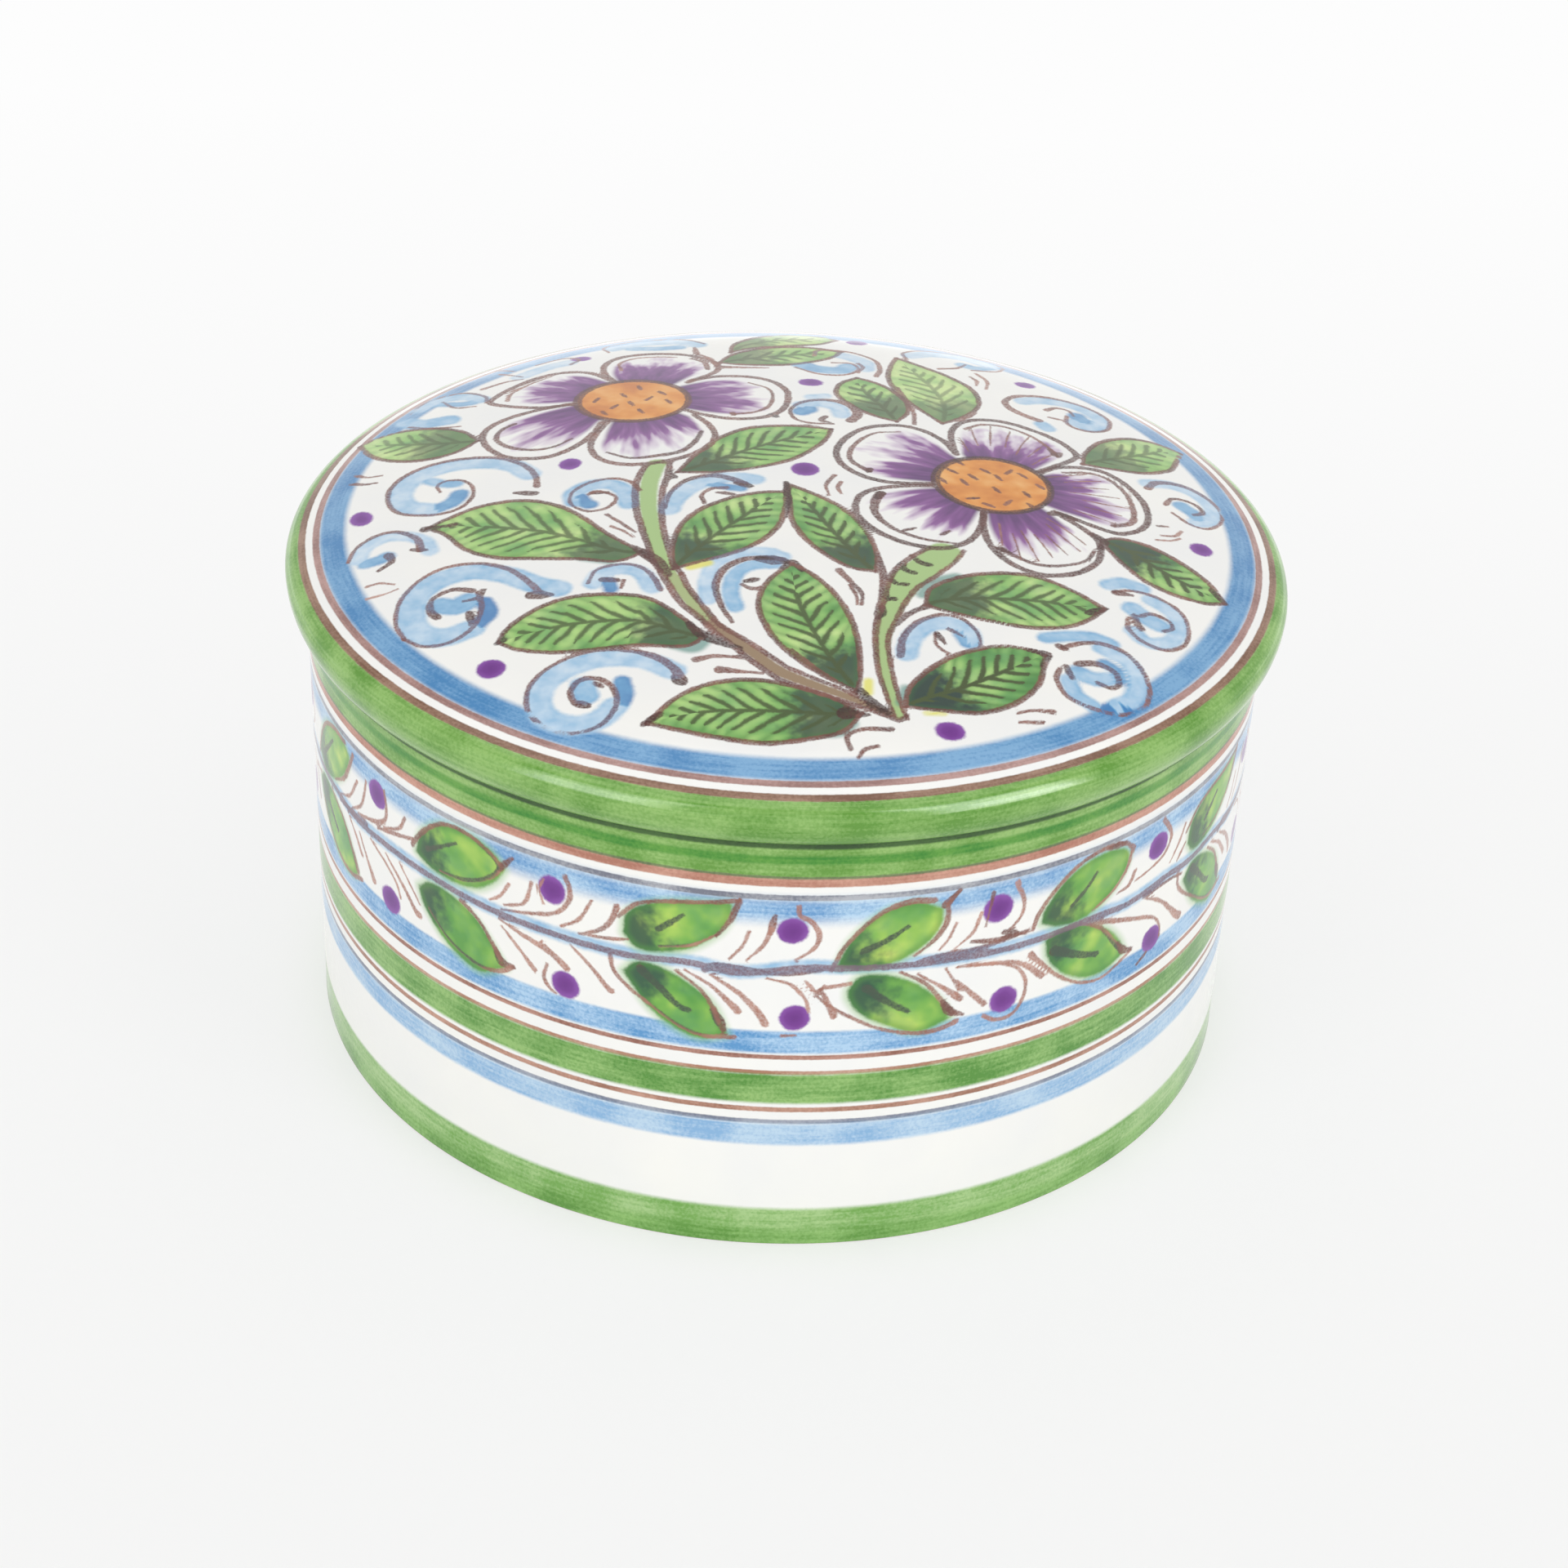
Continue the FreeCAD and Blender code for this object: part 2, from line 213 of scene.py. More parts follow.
# Leaves: base, left edge, tip, right edge, tone.
LID_LEAVES = [
    ((-17.5, -15.6), pairs(-22, -11.2, -25, -7.4, -28.5, -4, -33, -2.2, -38, -3.2, -42, -6), (-44.3, -8.2),
     pairs(-20.5, -17.6, -25, -17, -30, -16.7, -35, -16.2, -39, -14, -41.8, -10.2), 0.3),
    ((-9.2, -33.6), pairs(-12.2, -29.6, -16, -26, -20, -25, -25, -25.4, -29, -27.6, -32.3, -31.6),
     (-33.2, -34.6), pairs(-11.5, -35.6, -17, -35.5, -22, -36.4, -27, -36.8, -31, -36), 0.36),
    ((9.2, -46.8), pairs(6, -44.4, 2, -42.8, -3, -41.7, -8, -42.6, -12, -45.5), (-15, -50),
     pairs(7.2, -50.2, 3, -52, -1.5, -52.9, -6, -52.4, -11, -51.2), 0.42),
    ((8.6, -42.8), pairs(4.6, -40.2, 1, -36.6, -1.8, -32, -3.2, -26.5, -2.2, -21.5), (0.5, -17.2),
     pairs(9, -40, 8.8, -35, 8, -29.5, 6, -24, 3.3, -19.8), 0.45),
    ((-13.7, -19.4), pairs(-14, -14.5, -13.2, -9, -10.8, -4.7, -7, -1.5, -3.5, 0), (-0.5, 0.4),
     pairs(-11, -17.8, -7, -15.6, -3.6, -12.6, -1.3, -8.5, -0.6, -4), 0.42),
    ((10.7, -18), pairs(7.6, -17.4, 4.6, -14.8, 2, -11.2, 0.4, -7, 0, -3), (-0.5, 2.6),
     pairs(10.8, -14, 9.6, -9, 7.4, -4.4, 4.3, -0.9), 0.45),
    ((16.6, -24.6), pairs(17.2, -21, 20.3, -18, 24.6, -16.1, 29.5, -15.6, 34, -17.6), (38.2, -21),
     pairs(19.5, -25.6, 24, -26.6, 29, -27.1, 33.5, -26, 36.4, -23.6), 0.36),
    ((14.2, -45), pairs(14.6, -41.6, 17, -37.6, 20.6, -34, 25, -31.8, 28.5, -31.7), (30.7, -32.6),
     pairs(18.5, -45.2, 23, -44.9, 27, -42.4, 29.6, -38.6, 30.3, -35.4), 0.6),
    ((38.6, -4.7), pairs(41, -3.6, 44.5, -4.4, 48, -7, 51.5, -11), (53.3, -15),
     pairs(40, -8, 43, -12.6, 46.6, -15.2, 50.6, -16), 0.5),
    ((37.4, 16.2), pairs(38, 20, 40.4, 24.4, 44.4, 27, 48, 27.2), (51, 26),
     pairs(41, 15.9, 45.4, 16.2, 48.8, 18.4, 50, 21.8), 0.2),
    ((-40.4, 15.6), pairs(-43, 12.4, -46.4, 10.8, -50.4, 11, -53.8, 13.6), (-56, 18.4),
     pairs(-42.6, 18.7, -46, 20.4, -50.4, 20.8, -54, 20), 0.15),
    ((-14.3, 5), pairs(-12.2, 10.2, -9.6, 15, -5.8, 18.6, -1, 19.8, 2.4, 19.8), (4.9, 19.4),
     pairs(-9.5, 5.2, -4.5, 6.8, 0, 9.6, 3, 13.6, 4.4, 16.8), 0.38),
    ((13.4, 23.4), pairs(10.2, 25, 7.4, 28, 5.5, 31.6, 6, 35.6), (8.2, 38.2),
     pairs(14.8, 26.4, 14.8, 30, 13, 34, 10.8, 36.6), 0.28),
    ((19.4, 24), pairs(16.2, 28.6, 13.6, 33.6, 12.4, 39, 12.8, 44), (13.6, 47.6),
     pairs(22.6, 27.6, 24.4, 32, 23.6, 37.4, 20.6, 41.6, 17, 44.8), 0.08),
    ((-10.4, 42), pairs(-8.6, 45.6, -5, 48.4, -1, 49.6, 2.5, 49.6), (6, 48.6),
     pairs(-7, 41.4, -2, 41.8, 2, 43.6, 4.8, 46), 0.22),
    ((-9, 46.4), pairs(-8.6, 50, -5.4, 54.2, -1, 56.4, 3, 56.2), (5.4, 54.4),
     pairs(-6, 48.6, -1, 50.2, 3, 51.6), 0.1),
]

# Flowers: place and size of the middle, then each petal's outline. The first number says how much
# sooner the violet ends on the petal's side that lies counterclockwise.
FLOWERS = [
    ((-21.2, 27.5), (14.6, 14.2), [
        (0.0, pairs(-24, 34.2, -25.6, 37.6, -25.7, 41, -24, 43.8, -20.6, 45.2, -16, 45.2, -12.5, 43.6,
                    -10.5, 40.8, -11, 37.8, -14, 34.6)),
        (0.0, pairs(-14.4, 34, -12, 35.8, -9.5, 36.6, -6, 36.5, -3, 35, -1.2, 32, -0.9, 28.4, -1.8, 24.6,
                    -4.2, 22.2, -8, 21.5, -11.6, 22.6, -14, 24)),
        (0.0, pairs(-13, 22.6, -11, 19.5, -10, 16, -10.8, 12.6, -13.5, 9.5, -17, 7.7, -20.5, 7.1, -23.8, 8.3,
                    -25.6, 11.5, -25.5, 15.5, -24, 20.4)),
        (0.0, pairs(-24.8, 20.2, -25.6, 17, -27.2, 13.4, -30, 10.3, -33, 9.4, -36.6, 10.4, -39.3, 14,
                    -39.9, 18, -38, 21.5, -34, 24.5, -28.8, 26.6)),
        (0.0, pairs(-28.8, 26.6, -33, 25.6, -37, 26.4, -40, 28, -39.4, 30.2, -37.5, 33.2, -34.5, 36.5,
                    -31, 38.3, -27.5, 37.8, -24.4, 34.6)),
    ]),
    ((25.5, 6.8), (14.7, 15.0), [
        (0.0, pairs(21, 14.6, 20.5, 18, 20.5, 21.5, 21.6, 24.6, 24, 26.5, 27.5, 26.7, 31, 25.2, 34.5, 22.5,
                    36.6, 19, 35.6, 16.4, 31.4, 12)),
        (0.7, pairs(31.6, 11.6, 34, 14, 37.5, 15, 40.5, 14.2, 43, 11.2, 44.7, 7, 45, 3, 44.2, 0.2,
                    42.4, -1.7, 40, -2.2, 33.4, 1)),
        (0.8, pairs(24.1, -1, 24, -5, 24.6, -9, 26.3, -12.3, 29, -14.5, 32, -15, 35.5, -13.4, 38, -10,
                    38.4, -6, 37, -3, 33, 1.2)),
        (0.2, pairs(18.2, 4.8, 15, 4.2, 11, 2.8, 8.7, 0.5, 8.1, -3, 9, -6, 11.5, -9, 15, -11, 19, -11.2,
                    22, -9, 23.5, -5.5, 24.1, -1)),
        (-0.2, pairs(21, 14.6, 19.3, 18.4, 16.6, 21.2, 13.4, 22.1, 9.5, 20.6, 6.8, 17, 5.6, 12.6, 6.3, 9,
                     8.9, 6, 12.5, 4.7, 17.8, 5.2)),
    ]),
]

# The pale green of the stems: points, widths at start, middle and end, tone (1 is olive brown).
LID_STEMS = [
    (pairs(-16.9, 7.4, -17.6, 3, -17.6, -2, -17.1, -7, -16.2, -12, -15.1, -17, -14, -20.2), (2.4, 2.2, 1.8),
     0.0),
    (pairs(-14, -20.2, -12.5, -23.6, -10.9, -27, -9, -30.2), (1.8, 1.7, 1.6), 0.25),
    (pairs(-9, -30.2, -6.4, -33.2, -3.5, -36.5, 0, -40.1, 4, -42.3, 8, -44.2, 12.6, -46.8), (1.6, 1.8, 0.9),
     1.0),
    (pairs(19, -12.2, 17.3, -15, 14.8, -18.8, 13.2, -23, 12.2, -27.4), (4.4, 4.2, 2.6), 0.0),
    (pairs(12.2, -27.4, 11.5, -32, 11.6, -36.5, 12.2, -41, 13.5, -46.8), (2.4, 1.5, 1.4), 0.05),
]

# Blue washes of the volutes: points, width, tone.
LID_WASHES = [
    (pairs(-33, 5, -35.6, 7.8, -40.4, 8.8, -44.8, 7.6, -48, 4.4, -48.7, 0.4, -47.2, -2.4, -44.4, -3.4), 3.2,
     0.28),
    (pairs(-43.6, -3.2, -41.8, -1.6, -41.2, 0.4), 2.4, 0.72),
    (pairs(-45.4, 4.4, -43.6, 3.4, -42, 3.2), 2.0, 0.45),
    (pairs(-19.9, -3.6, -20.4, -0.6, -22.2, 1.5, -25, 1.4, -26.9, -0.8, -26.6, -3), 2.7, 0.38),
    (pairs(-26.2, -1.6, -25.4, -3.2, -24.8, -3.7), 2.3, 0.85),
    (pairs(-14.9, -5, -14.2, -2, -12.7, 0.6), 2.9, 0.3),
    (pairs(-12.7, 0.6, -9.8, 3.2, -7, 3.8, -4.6, 3.4), 2.8, 0.25),
    (pairs(-10.8, 2.2, -8, 1.2, -6.2, 0.8), 1.7, 0.62),
    (pairs(-43.4, -13.8, -44.3, -11.4, -46.6, -9.9, -49.4, -9.9, -51.6, -12, -52, -14.6), 2.2, 0.25),
    (pairs(-51, -15.6, -49.6, -15.2, -48.6, -14.4), 2.2, 0.55),
    (pairs(-27.2, -23.6, -30.2, -22.4, -33.2, -20.4, -37.6, -19.2, -41.6, -20.8, -44, -24.4, -44, -29,
           -42.4, -32, -39.6, -33, -36.8, -31.6), 3.6, 0.36),
    (pairs(-40.8, -26.4, -39, -26.8, -37.6, -25.6), 3.4, 0.5),
    (pairs(-35.7, -26, -34.9, -28.3, -35.9, -30.6), 2.3, 1.0),
    (pairs(-23, -22.6, -22.2, -20.4, -19.8, -19.3, -17.4, -20.3, -15.9, -23.6), 2.5, 0.3),
    (pairs(-21.2, -22.2, -20.8, -23.8), 1.9, 0.85),
    (pairs(-12.6, -40.4, -16.2, -38.4, -21, -38.2, -25.2, -40.4, -27.5, -44, -27, -48, -24, -50,
           -20.6, -49.4, -18.8, -47), 3.2, 0.3),
    (pairs(-18.3, -42.4, -17.8, -45, -18.3, -47), 2.1, 0.82),
    (pairs(-22.8, -43.2, -22.2, -45.2), 3.0, 0.42),
    (pairs(-9.2, -26, -9.5, -22, -8.7, -18, -6.2, -15.6, -2.8, -14.8, -0.6, -15.8), 2.1, 0.25),
    (pairs(-5.9, -27.4, -6.6, -24, -6.1, -20.2, -4.2, -18, -1.6, -17.6), 2.2, 0.42),
    (pairs(14.3, -35, 15, -31.6, 16.8, -28.9, 19.4, -28, 21.6, -29.4, 21.9, -31.4), 2.7, 0.33),
    (pairs(20.8, -30, 21.6, -31.8), 2.1, 0.7),
    (pairs(39, -15.4, 40.8, -14.4, 43, -15.2), 2.4, 0.4),
    (pairs(44, -17.4, 46.6, -20, 47.1, -23, 45.8, -26, 43.2, -27, 41.4, -25), 2.3, 0.3),
    (pairs(41.6, -20, 43.2, -21.8, 44.8, -23), 2.8, 0.4),
    (pairs(30.8, -28.9, 33.4, -28, 36.4, -27.5, 38.6, -28.4), 2.2, 0.45),
    (pairs(37.4, -29.6, 40.4, -31.6, 41.4, -35, 40.6, -38.4, 38.6, -40.4), 2.4, 0.3),
    (pairs(37.6, -32.6, 39, -33.8, 39.4, -35.4), 1.8, 0.7),
    (pairs(34.4, -35, 36.2, -36, 37.8, -35.6), 2.6, 0.45),
    (pairs(33.2, -36.8, 34, -39.4, 36, -41), 2.2, 0.45),
    (pairs(37.6, -41, 39.6, -39.9), 2.0, 1.0),
    (pairs(45.6, 13.2, 48.6, 13.8, 51.8, 12.4, 53.6, 9, 53.2, 5.6, 51.2, 4), 2.4, 0.25),
    (pairs(49.6, 8.2, 51, 6.6, 52, 4.6), 2.4, 0.5),
    (pairs(30.4, 35.2, 33, 36.3, 37, 36, 40, 33.5, 40.5, 30.4, 39, 28.6, 37, 29.8), 2.5, 0.3),
    (pairs(37.4, 32.2, 38.2, 30.8), 2.5, 0.66),
    (pairs(32.6, 27.6, 33.3, 26.4), 2.2, 0.36),
    (pairs(3.5, 47.6, 6.6, 46.8, 9.2, 44.6, 9.4, 42), 2.5, 0.2),
    (pairs(0.6, 42.4, 3, 40.8, 6, 40.8, 7, 42.4), 2.8, 0.5),
    (pairs(6, 41, 6.9, 42.2), 1.9, 0.8),
    (pairs(6.2, 24.4, 5.6, 26.8, 3.2, 28, 0.9, 27), 2.5, 0.25),
    (pairs(1, 24.8, 1.8, 25.6), 2.7, 0.72),
    (pairs(2, 30, 4, 30.6), 1.7, 0.16),
    (pairs(-50.6, 24, -48.6, 22.4, -45, 23), 3.2, 0.42),
    (pairs(-49.4, 28.4, -47.4, 31, -43.6, 31.2, -41.4, 29.6), 2.6, 0.32),
    (pairs(-46.5, 29.2, -44, 28.4, -42.4, 28.6), 1.8, 0.6),
    (pairs(-37, 37.4, -33.4, 41, -30.6, 42.6), 2.4, 0.2),
    (pairs(-25, 48.4, -21, 50.6, -16, 51, -13.6, 49.6), 2.6, 0.26),
    (pairs(-22.6, 48, -19, 47.8, -16, 48.4), 1.9, 0.44),
    (pairs(15.6, 49.4, 18.6, 51.2, 23, 51.2, 26.4, 49), 2.8, 0.2),
    (pairs(22.6, 47.4, 24.6, 46.6, 26.4, 47.6), 2.0, 0.46),
]

# Brown lines: points, widths, tone.
LID_LINES = [
    # round the leaves, where the pen runs off their tips or doubles
    (pairs(-41, -7.6, -44.6, -8.4), (0.9, 0.7, 1.5), 0.62),
    (pairs(-32.6, -34, -33.4, -34.8), (0.9, 0.9, 0.7), 0.85),
    (pairs(-13.6, -48.4, -15.4, -50.2), (0.9, 1.1, 0.9), 0.7),
    (pairs(-0.6, -18.6, 0.6, -17, 1.8, -18.8), (0.9, 1.2, 0.8), 0.8),
    (pairs(-0.6, 2.9, -0.3, -2, -0.5, -6), (0.9, 1.1, 0.6), 0.75),
    (pairs(36.2, -22.4, 38.4, -20.9), (1.1, 1.4, 0.8), 0.72),
    (pairs(28.6, -31.8, 31, -32.4, 30.2, -34.4), (0.8, 1.1, 0.6), 0.72),
    (pairs(51.8, -12.6, 53.5, -15.2), (0.8, 1.1, 0.8), 0.72),
    (pairs(-17.4, -15.4, -15.6, -17.6, -14, -20.6), (1.3, 1.7, 0.9), 0.6),
    (pairs(-18.6, -14.4, -15.8, -18.2), (0.9, 1.2, 0.8), 0.6),
    (pairs(-11.2, -31, -9.8, -33, -7.6, -34.4, -5, -35.8), (1.0, 1.8, 0.8), 0.78),
    (pairs(7.4, -47, 8.8, -47, 9.9, -47), (2.2, 1.5, 0.6), 0.72),
    (pairs(8.9, -42.4, 10.4, -44.8, 12.6, -46.6), (0.9, 1.5, 0.8), 0.85),
    (pairs(1, -35.6, 4.4, -39.6, 8.6, -43.2), (0.5, 0.7, 0.5), 0.4),
    (pairs(10.8, -14, 11.4, -17, 11.6, -20.4, 11.3, -24, 10.7, -27.2), (0.8, 1.0, 0.6), 0.5),
    (pairs(17, -24.8, 14.9, -26.4, 13, -29.2), (1.0, 0.8, 0.9), 0.6),
    (pairs(37.6, -3.4, 39, -5, 38.2, -7), (0.9, 1.3, 0.6), 0.62),
    (pairs(-10.6, 40.4, -8.6, 40.2, -4, 40.4), (1.1, 0.7, 0.4), 0.3),
    (pairs(-10.6, 40.6, -11.6, 43.4, -13.4, 45.4), (0.9, 0.7, 0.5), 0.3),
    (pairs(13.4, 35.4, 14.6, 31.4, 15.6, 27, 15.7, 23), (1.0, 0.7, 0.6), 0.36),
    (pairs(23.6, 29, 22.8, 27.4, 21, 25.4), (1.0, 1.1, 0.9), 0.3),
    # the two stems
    (pairs(-18.3, 7.4, -19.1, 3.6, -19.3, 0, -18.9, -5, -17.9, -10, -16.9, -14, -16.2, -17.4, -15.1, -20),
     (0.9, 1.0, 0.8), 0.48),
    (pairs(-15.1, -20, -13.5, -24.1, -12.2, -27, -10.7, -28.9, -9.2, -31, -7.9, -33, -6.3, -34.8,
           -4.2, -37.4, -2, -39.8, 0, -41.6, 4, -43.5, 8, -45.2, 13, -47.4), (1.0, 0.9, 0.7), 0.42),
    (pairs(-15.4, 7.7, -15.5, 4, -15.9, 0, -15.8, -5, -15.3, -10, -14.5, -14.4, -13.7, -18, -12.6, -20.4),
     (0.9, 0.9, 0.8), 0.48),
    (pairs(-12.6, -20.4, -11.8, -23, -10.6, -25.6, -9.3, -28.1, -7.9, -30.7, -6.3, -32.4, -4.5, -34,
           -2.9, -35.6, -1.2, -37.3, 0.5, -39, 2.2, -40, 4, -41.1, 6, -42.1, 8, -43.3, 10, -44.8,
           12.4, -46.6), (0.9, 0.8, 0.6), 0.42),
    (pairs(-15.4, 5.6, -15.2, 4.2, -14.6, 3.6), (0.8, 1.1, 1.0), 0.66),
    (pairs(17, -11.6, 15, -14, 13, -17.4, 12.1, -20.6, 11.7, -24, 11, -27.6, 10.7, -31, 10.8, -36, 11.3, -40,
           12.2, -44, 13, -47.4), (0.8, 0.9, 0.6), 0.45),
    (pairs(21.4, -11.4, 20.2, -14.4, 18, -17.8, 15.6, -21, 14.2, -24.4, 13.2, -28, 12.2, -32, 12.4, -36.4,
           13, -41, 13.8, -45, 14.4, -47.2), (0.7, 0.8, 0.6), 0.42),
    (pairs(12.4, -47.2, 13.6, -47.6, 14.4, -46.6), (0.7, 0.9, 0.7), 0.5),
    (pairs(15.1, -13.7, 15.8, -14.9, 17.1, -15.5), (1.0, 0.8, 1.1), 0.85),
    (pairs(13.7, -16, 14.3, -17.2, 15.3, -17.6), (1.0, 0.9, 1.0), 0.85),
    (pairs(12.6, -19.8, 13.3, -20.4, 14.4, -20.3), (1.0, 0.8, 0.9), 0.8),
    (pairs(11.5, -22.7, 12, -23.7, 12.9, -23.8), (1.0, 0.8, 0.9), 0.85),
    (pairs(11.4, -25.6, 11.6, -27.2, 10.9, -28.2), (0.9, 0.8, 0.7), 0.8),
    # second outlines inside the petals' tips
    (pairs(-23.4, 38.8, -23.8, 41.4, -22, 43.4, -19, 44.1, -16.4, 44), (0.5, 0.5, 0.3), 0.2),
    (pairs(-14.2, 43.4, -12.4, 42, -11.8, 39.2), (0.5, 0.8, 0.7), 0.4),
    (pairs(-6, 34.2, -3.6, 32.4, -2.9, 29.4, -3.4, 26, -5.2, 23.9, -8, 23), (0.3, 0.6, 0.6), 0.36),
    (pairs(-8, 23.4, -7.8, 22.8), (0.9, 0.9, 0.7), 0.45),
    (pairs(-2.9, 23.2, -2.2, 22.6), (1.1, 1.0, 0.8), 0.85),
    (pairs(-11.8, 17.2, -12.5, 14, -14.2, 11, -17, 9.7, -20.4, 9, -23.4, 10.6), (0.7, 0.9, 0.4), 0.55),
    (pairs(-36.2, 20.4, -37.8, 18.4, -38, 15.4, -36, 13, -33, 12, -30.4, 12.8, -28.4, 15), (0.6, 0.8, 0.4),
     0.52),
    (pairs(-37.8, 28.6, -37.5, 31, -35.4, 34.2, -33, 36.6), (0.6, 0.5, 0.3), 0.26),
    (pairs(22.4, 23, 24.4, 24.9, 27.6, 25.1, 31, 22.9, 33.3, 19.6, 34.2, 17.4), (0.6, 0.5, 0.6), 0.36),
    (pairs(33.2, 19.4, 34.2, 17.6, 34.6, 18.6), (0.6, 1.0, 0.6), 0.5),
    (pairs(34.8, 12.8, 38, 13.6, 40.6, 12.4, 42.5, 9, 43.2, 5, 43, 1.6, 41.8, 0.2, 40.4, -0.4),
     (0.4, 0.7, 1.0), 0.4),
    (pairs(25.8, -9.9, 28, -11.6, 30.5, -12.8, 33.5, -12.3, 36.4, -10.4, 37.7, -7.6), (0.8, 0.6, 0.5), 0.5),
    (pairs(25.9, -10, 27, -10.6), (1.2, 0.9, 0.5), 0.62),
    (pairs(11.2, 1.4, 10.6, -0.6, 10.6, -4, 12.8, -7.4, 16.4, -9.4, 20.2, -9.8), (1.4, 0.8, 0.4), 0.5),
    (pairs(11.3, 1.5, 10.8, 0.2), (1.3, 1.1, 0.9), 0.72),
    (pairs(13.6, 20, 10.6, 19.1, 8.4, 16.1, 7.3, 12.6, 7.7, 9.8, 9.8, 7.4), (0.3, 0.7, 0.8), 0.4),
    (pairs(9.9, 8, 9.7, 7.2), (0.9, 0.9, 0.8), 0.55),
    (pairs(32.6, 0.6, 34.4, 0.6, 35.6, -0.2), (1.2, 1.0, 0.6), 0.66),
    (pairs(14, -7.8, 15.4, -6.9), (0.6, 0.7, 0.4), 0.5),
    (pairs(18.8, -7.9, 19.6, -7), (0.6, 0.7, 0.4), 0.5),
    # volutes
    (pairs(-31.7, 1.4, -32, 4, -33.4, 7, -36.6, 9.7, -40.6, 10.4, -45, 9.4, -48.4, 6.8, -50.2, 3, -50, -1,
           -48, -4, -44, -4.8, -41, -3.6, -39.6, -0.8, -39.8, 2, -41.2, 4, -43.2, 4.2, -44.3, 3, -43.8, 1.2),
     (0.9, 0.7, 0.5), 0.36),
    (pairs(-34.2, -0.1, -31.8, -0.4), (0.6, 1.3, 1.2), 0.58),
    (pairs(-18.8, 0, -20, 2.2, -22.4, 3.2, -25.2, 2.1, -27.1, -0.4, -27.1, -3.4, -25.1, -5.4, -22.9, -4.9,
           -21.7, -3.2, -21.8, -1.5, -24, -0.2, -25, -1), (0.7, 0.5, 0.6), 0.36),
    (pairs(-24.6, -0.6, -22.8, -0.6), (0.9, 0.8, 0.7), 0.62),
    (pairs(-15.3, -4.6, -14.9, -0.6, -13, 2.8, -10, 4.2, -7.6, 3.5, -5.9, 2.2), (0.4, 0.9, 1.3), 0.5),
    (pairs(-6.6, 2.4, -5.2, 1.6), (1.2, 1.5, 1.2), 0.85),
    (pairs(-10.6, -3.2, -11, -1.2, -9.8, 0.6, -8, 0.9), (0.6, 0.6, 0.9), 0.42),
    (pairs(-9, -0.4, -7.2, -0.7), (0.6, 0.9, 0.6), 0.6),
    (pairs(-44.6, -13.4, -45.4, -10.6, -48, -8.6, -50.6, -9.2, -52.7, -11.6, -53.3, -14.6), (1.1, 0.7, 0.5),
     0.36),
    (pairs(-45.6, -13.2, -44, -13.5), (0.6, 1.1, 0.7), 0.6),
    (pairs(-49.2, -17.5, -47.9, -15.8, -48.4, -14.2), (0.6, 0.8, 1.4), 0.55),
    (pairs(-29, -24.6, -31, -21.6, -33.6, -18.8, -37, -17.4, -41, -17.9, -44, -20.6, -45.8, -25,
           -45.8, -29.4, -44.4, -32.6), (1.0, 0.6, 0.6), 0.3),
    (pairs(-44.4, -32.6, -42, -34.4, -38.8, -34, -36.4, -31, -35.9, -27, -36.6, -23.8), (0.5, 0.6, 0.8),
     0.42),
    (pairs(-30.2, -24.9, -27.8, -24.9), (1.6, 1.9, 0.7), 0.62),
    (pairs(-38, -25.6, -36.4, -25, -35.9, -23.4), (0.5, 0.7, 0.5), 0.5),
    (pairs(-37.4, -23.4, -39.6, -23, -41.8, -24.6, -42, -27.2, -41, -28.8), (1.1, 0.6, 1.3), 0.5),
    (pairs(-37.2, -28.2, -36.8, -30.6), (1.0, 1.1, 0.6), 0.7),
    (pairs(-23.6, -22.4, -22.8, -19.6, -20, -18.3, -17.5, -19, -15.8, -21.4, -14.9, -24), (0.5, 0.6, 0.8),
     0.3),
    (pairs(-21.9, -21.7, -20.2, -21.9), (1.1, 1.1, 1.0), 0.62),
    (pairs(-19.4, -22, -19.6, -23.4), (0.7, 0.6, 0.4), 0.42),
    (pairs(-11.6, -41.8, -12.6, -39.8, -15, -37.6, -18.6, -36.4, -22.6, -36.8, -26.4, -39.2, -28.8, -43,
           -28.8, -47, -27, -49.9), (1.3, 0.6, 0.7), 0.36),
    (pairs(-27, -49.9, -23.8, -51.3, -20.4, -50.3, -18.8, -47.4, -18.9, -44.6, -20.4, -42.3, -22.6, -41.9,
           -24, -43.7, -23.7, -46, -22.3, -46.9), (0.4, 0.8, 0.8), 0.42),
    (pairs(-12.1, -41.6, -11.4, -42.5), (1.4, 1.9, 1.4), 0.66),
    (pairs(-23.4, -46.4, -22, -46.9), (0.9, 1.3, 1.1), 0.6),
    (pairs(-21.4, -42.8, -20.6, -43.4), (0.7, 0.9, 0.6), 0.5),
    (pairs(-6.2, -30.4, -7.6, -27, -8.4, -23, -7.7, -19.4, -5.6, -17, -3.4, -16.3, -0.6, -16.4),
     (0.6, 1.1, 1.0), 0.5),
    (pairs(-3.4, -16.5, -0.2, -16.9), (1.4, 2.2, 1.2), 0.85),
    (pairs(-5.2, -22.5, -4, -23.3, -2.4, -22.7), (0.5, 0.8, 0.5), 0.42),
    (pairs(-4.9, -21.7, -3.5, -21.2), (0.8, 1.1, 0.7), 0.62),
    (pairs(13.6, -35.4, 14, -31.6, 15.8, -28.2, 18.6, -26.3, 21, -26.9, 22.7, -29.4, 23.1, -31.8),
     (1.0, 0.8, 0.4), 0.42),
    (pairs(17.9, -30.3, 18.8, -32.2), (0.9, 0.9, 0.4), 0.62),
    (pairs(17.7, -30.6, 17.9, -32.8, 19.4, -34.2, 20.6, -34), (0.4, 0.5, 0.4), 0.36),
    (pairs(19.3, -29.2, 20.9, -30.4), (0.6, 0.6, 0.4), 0.42),
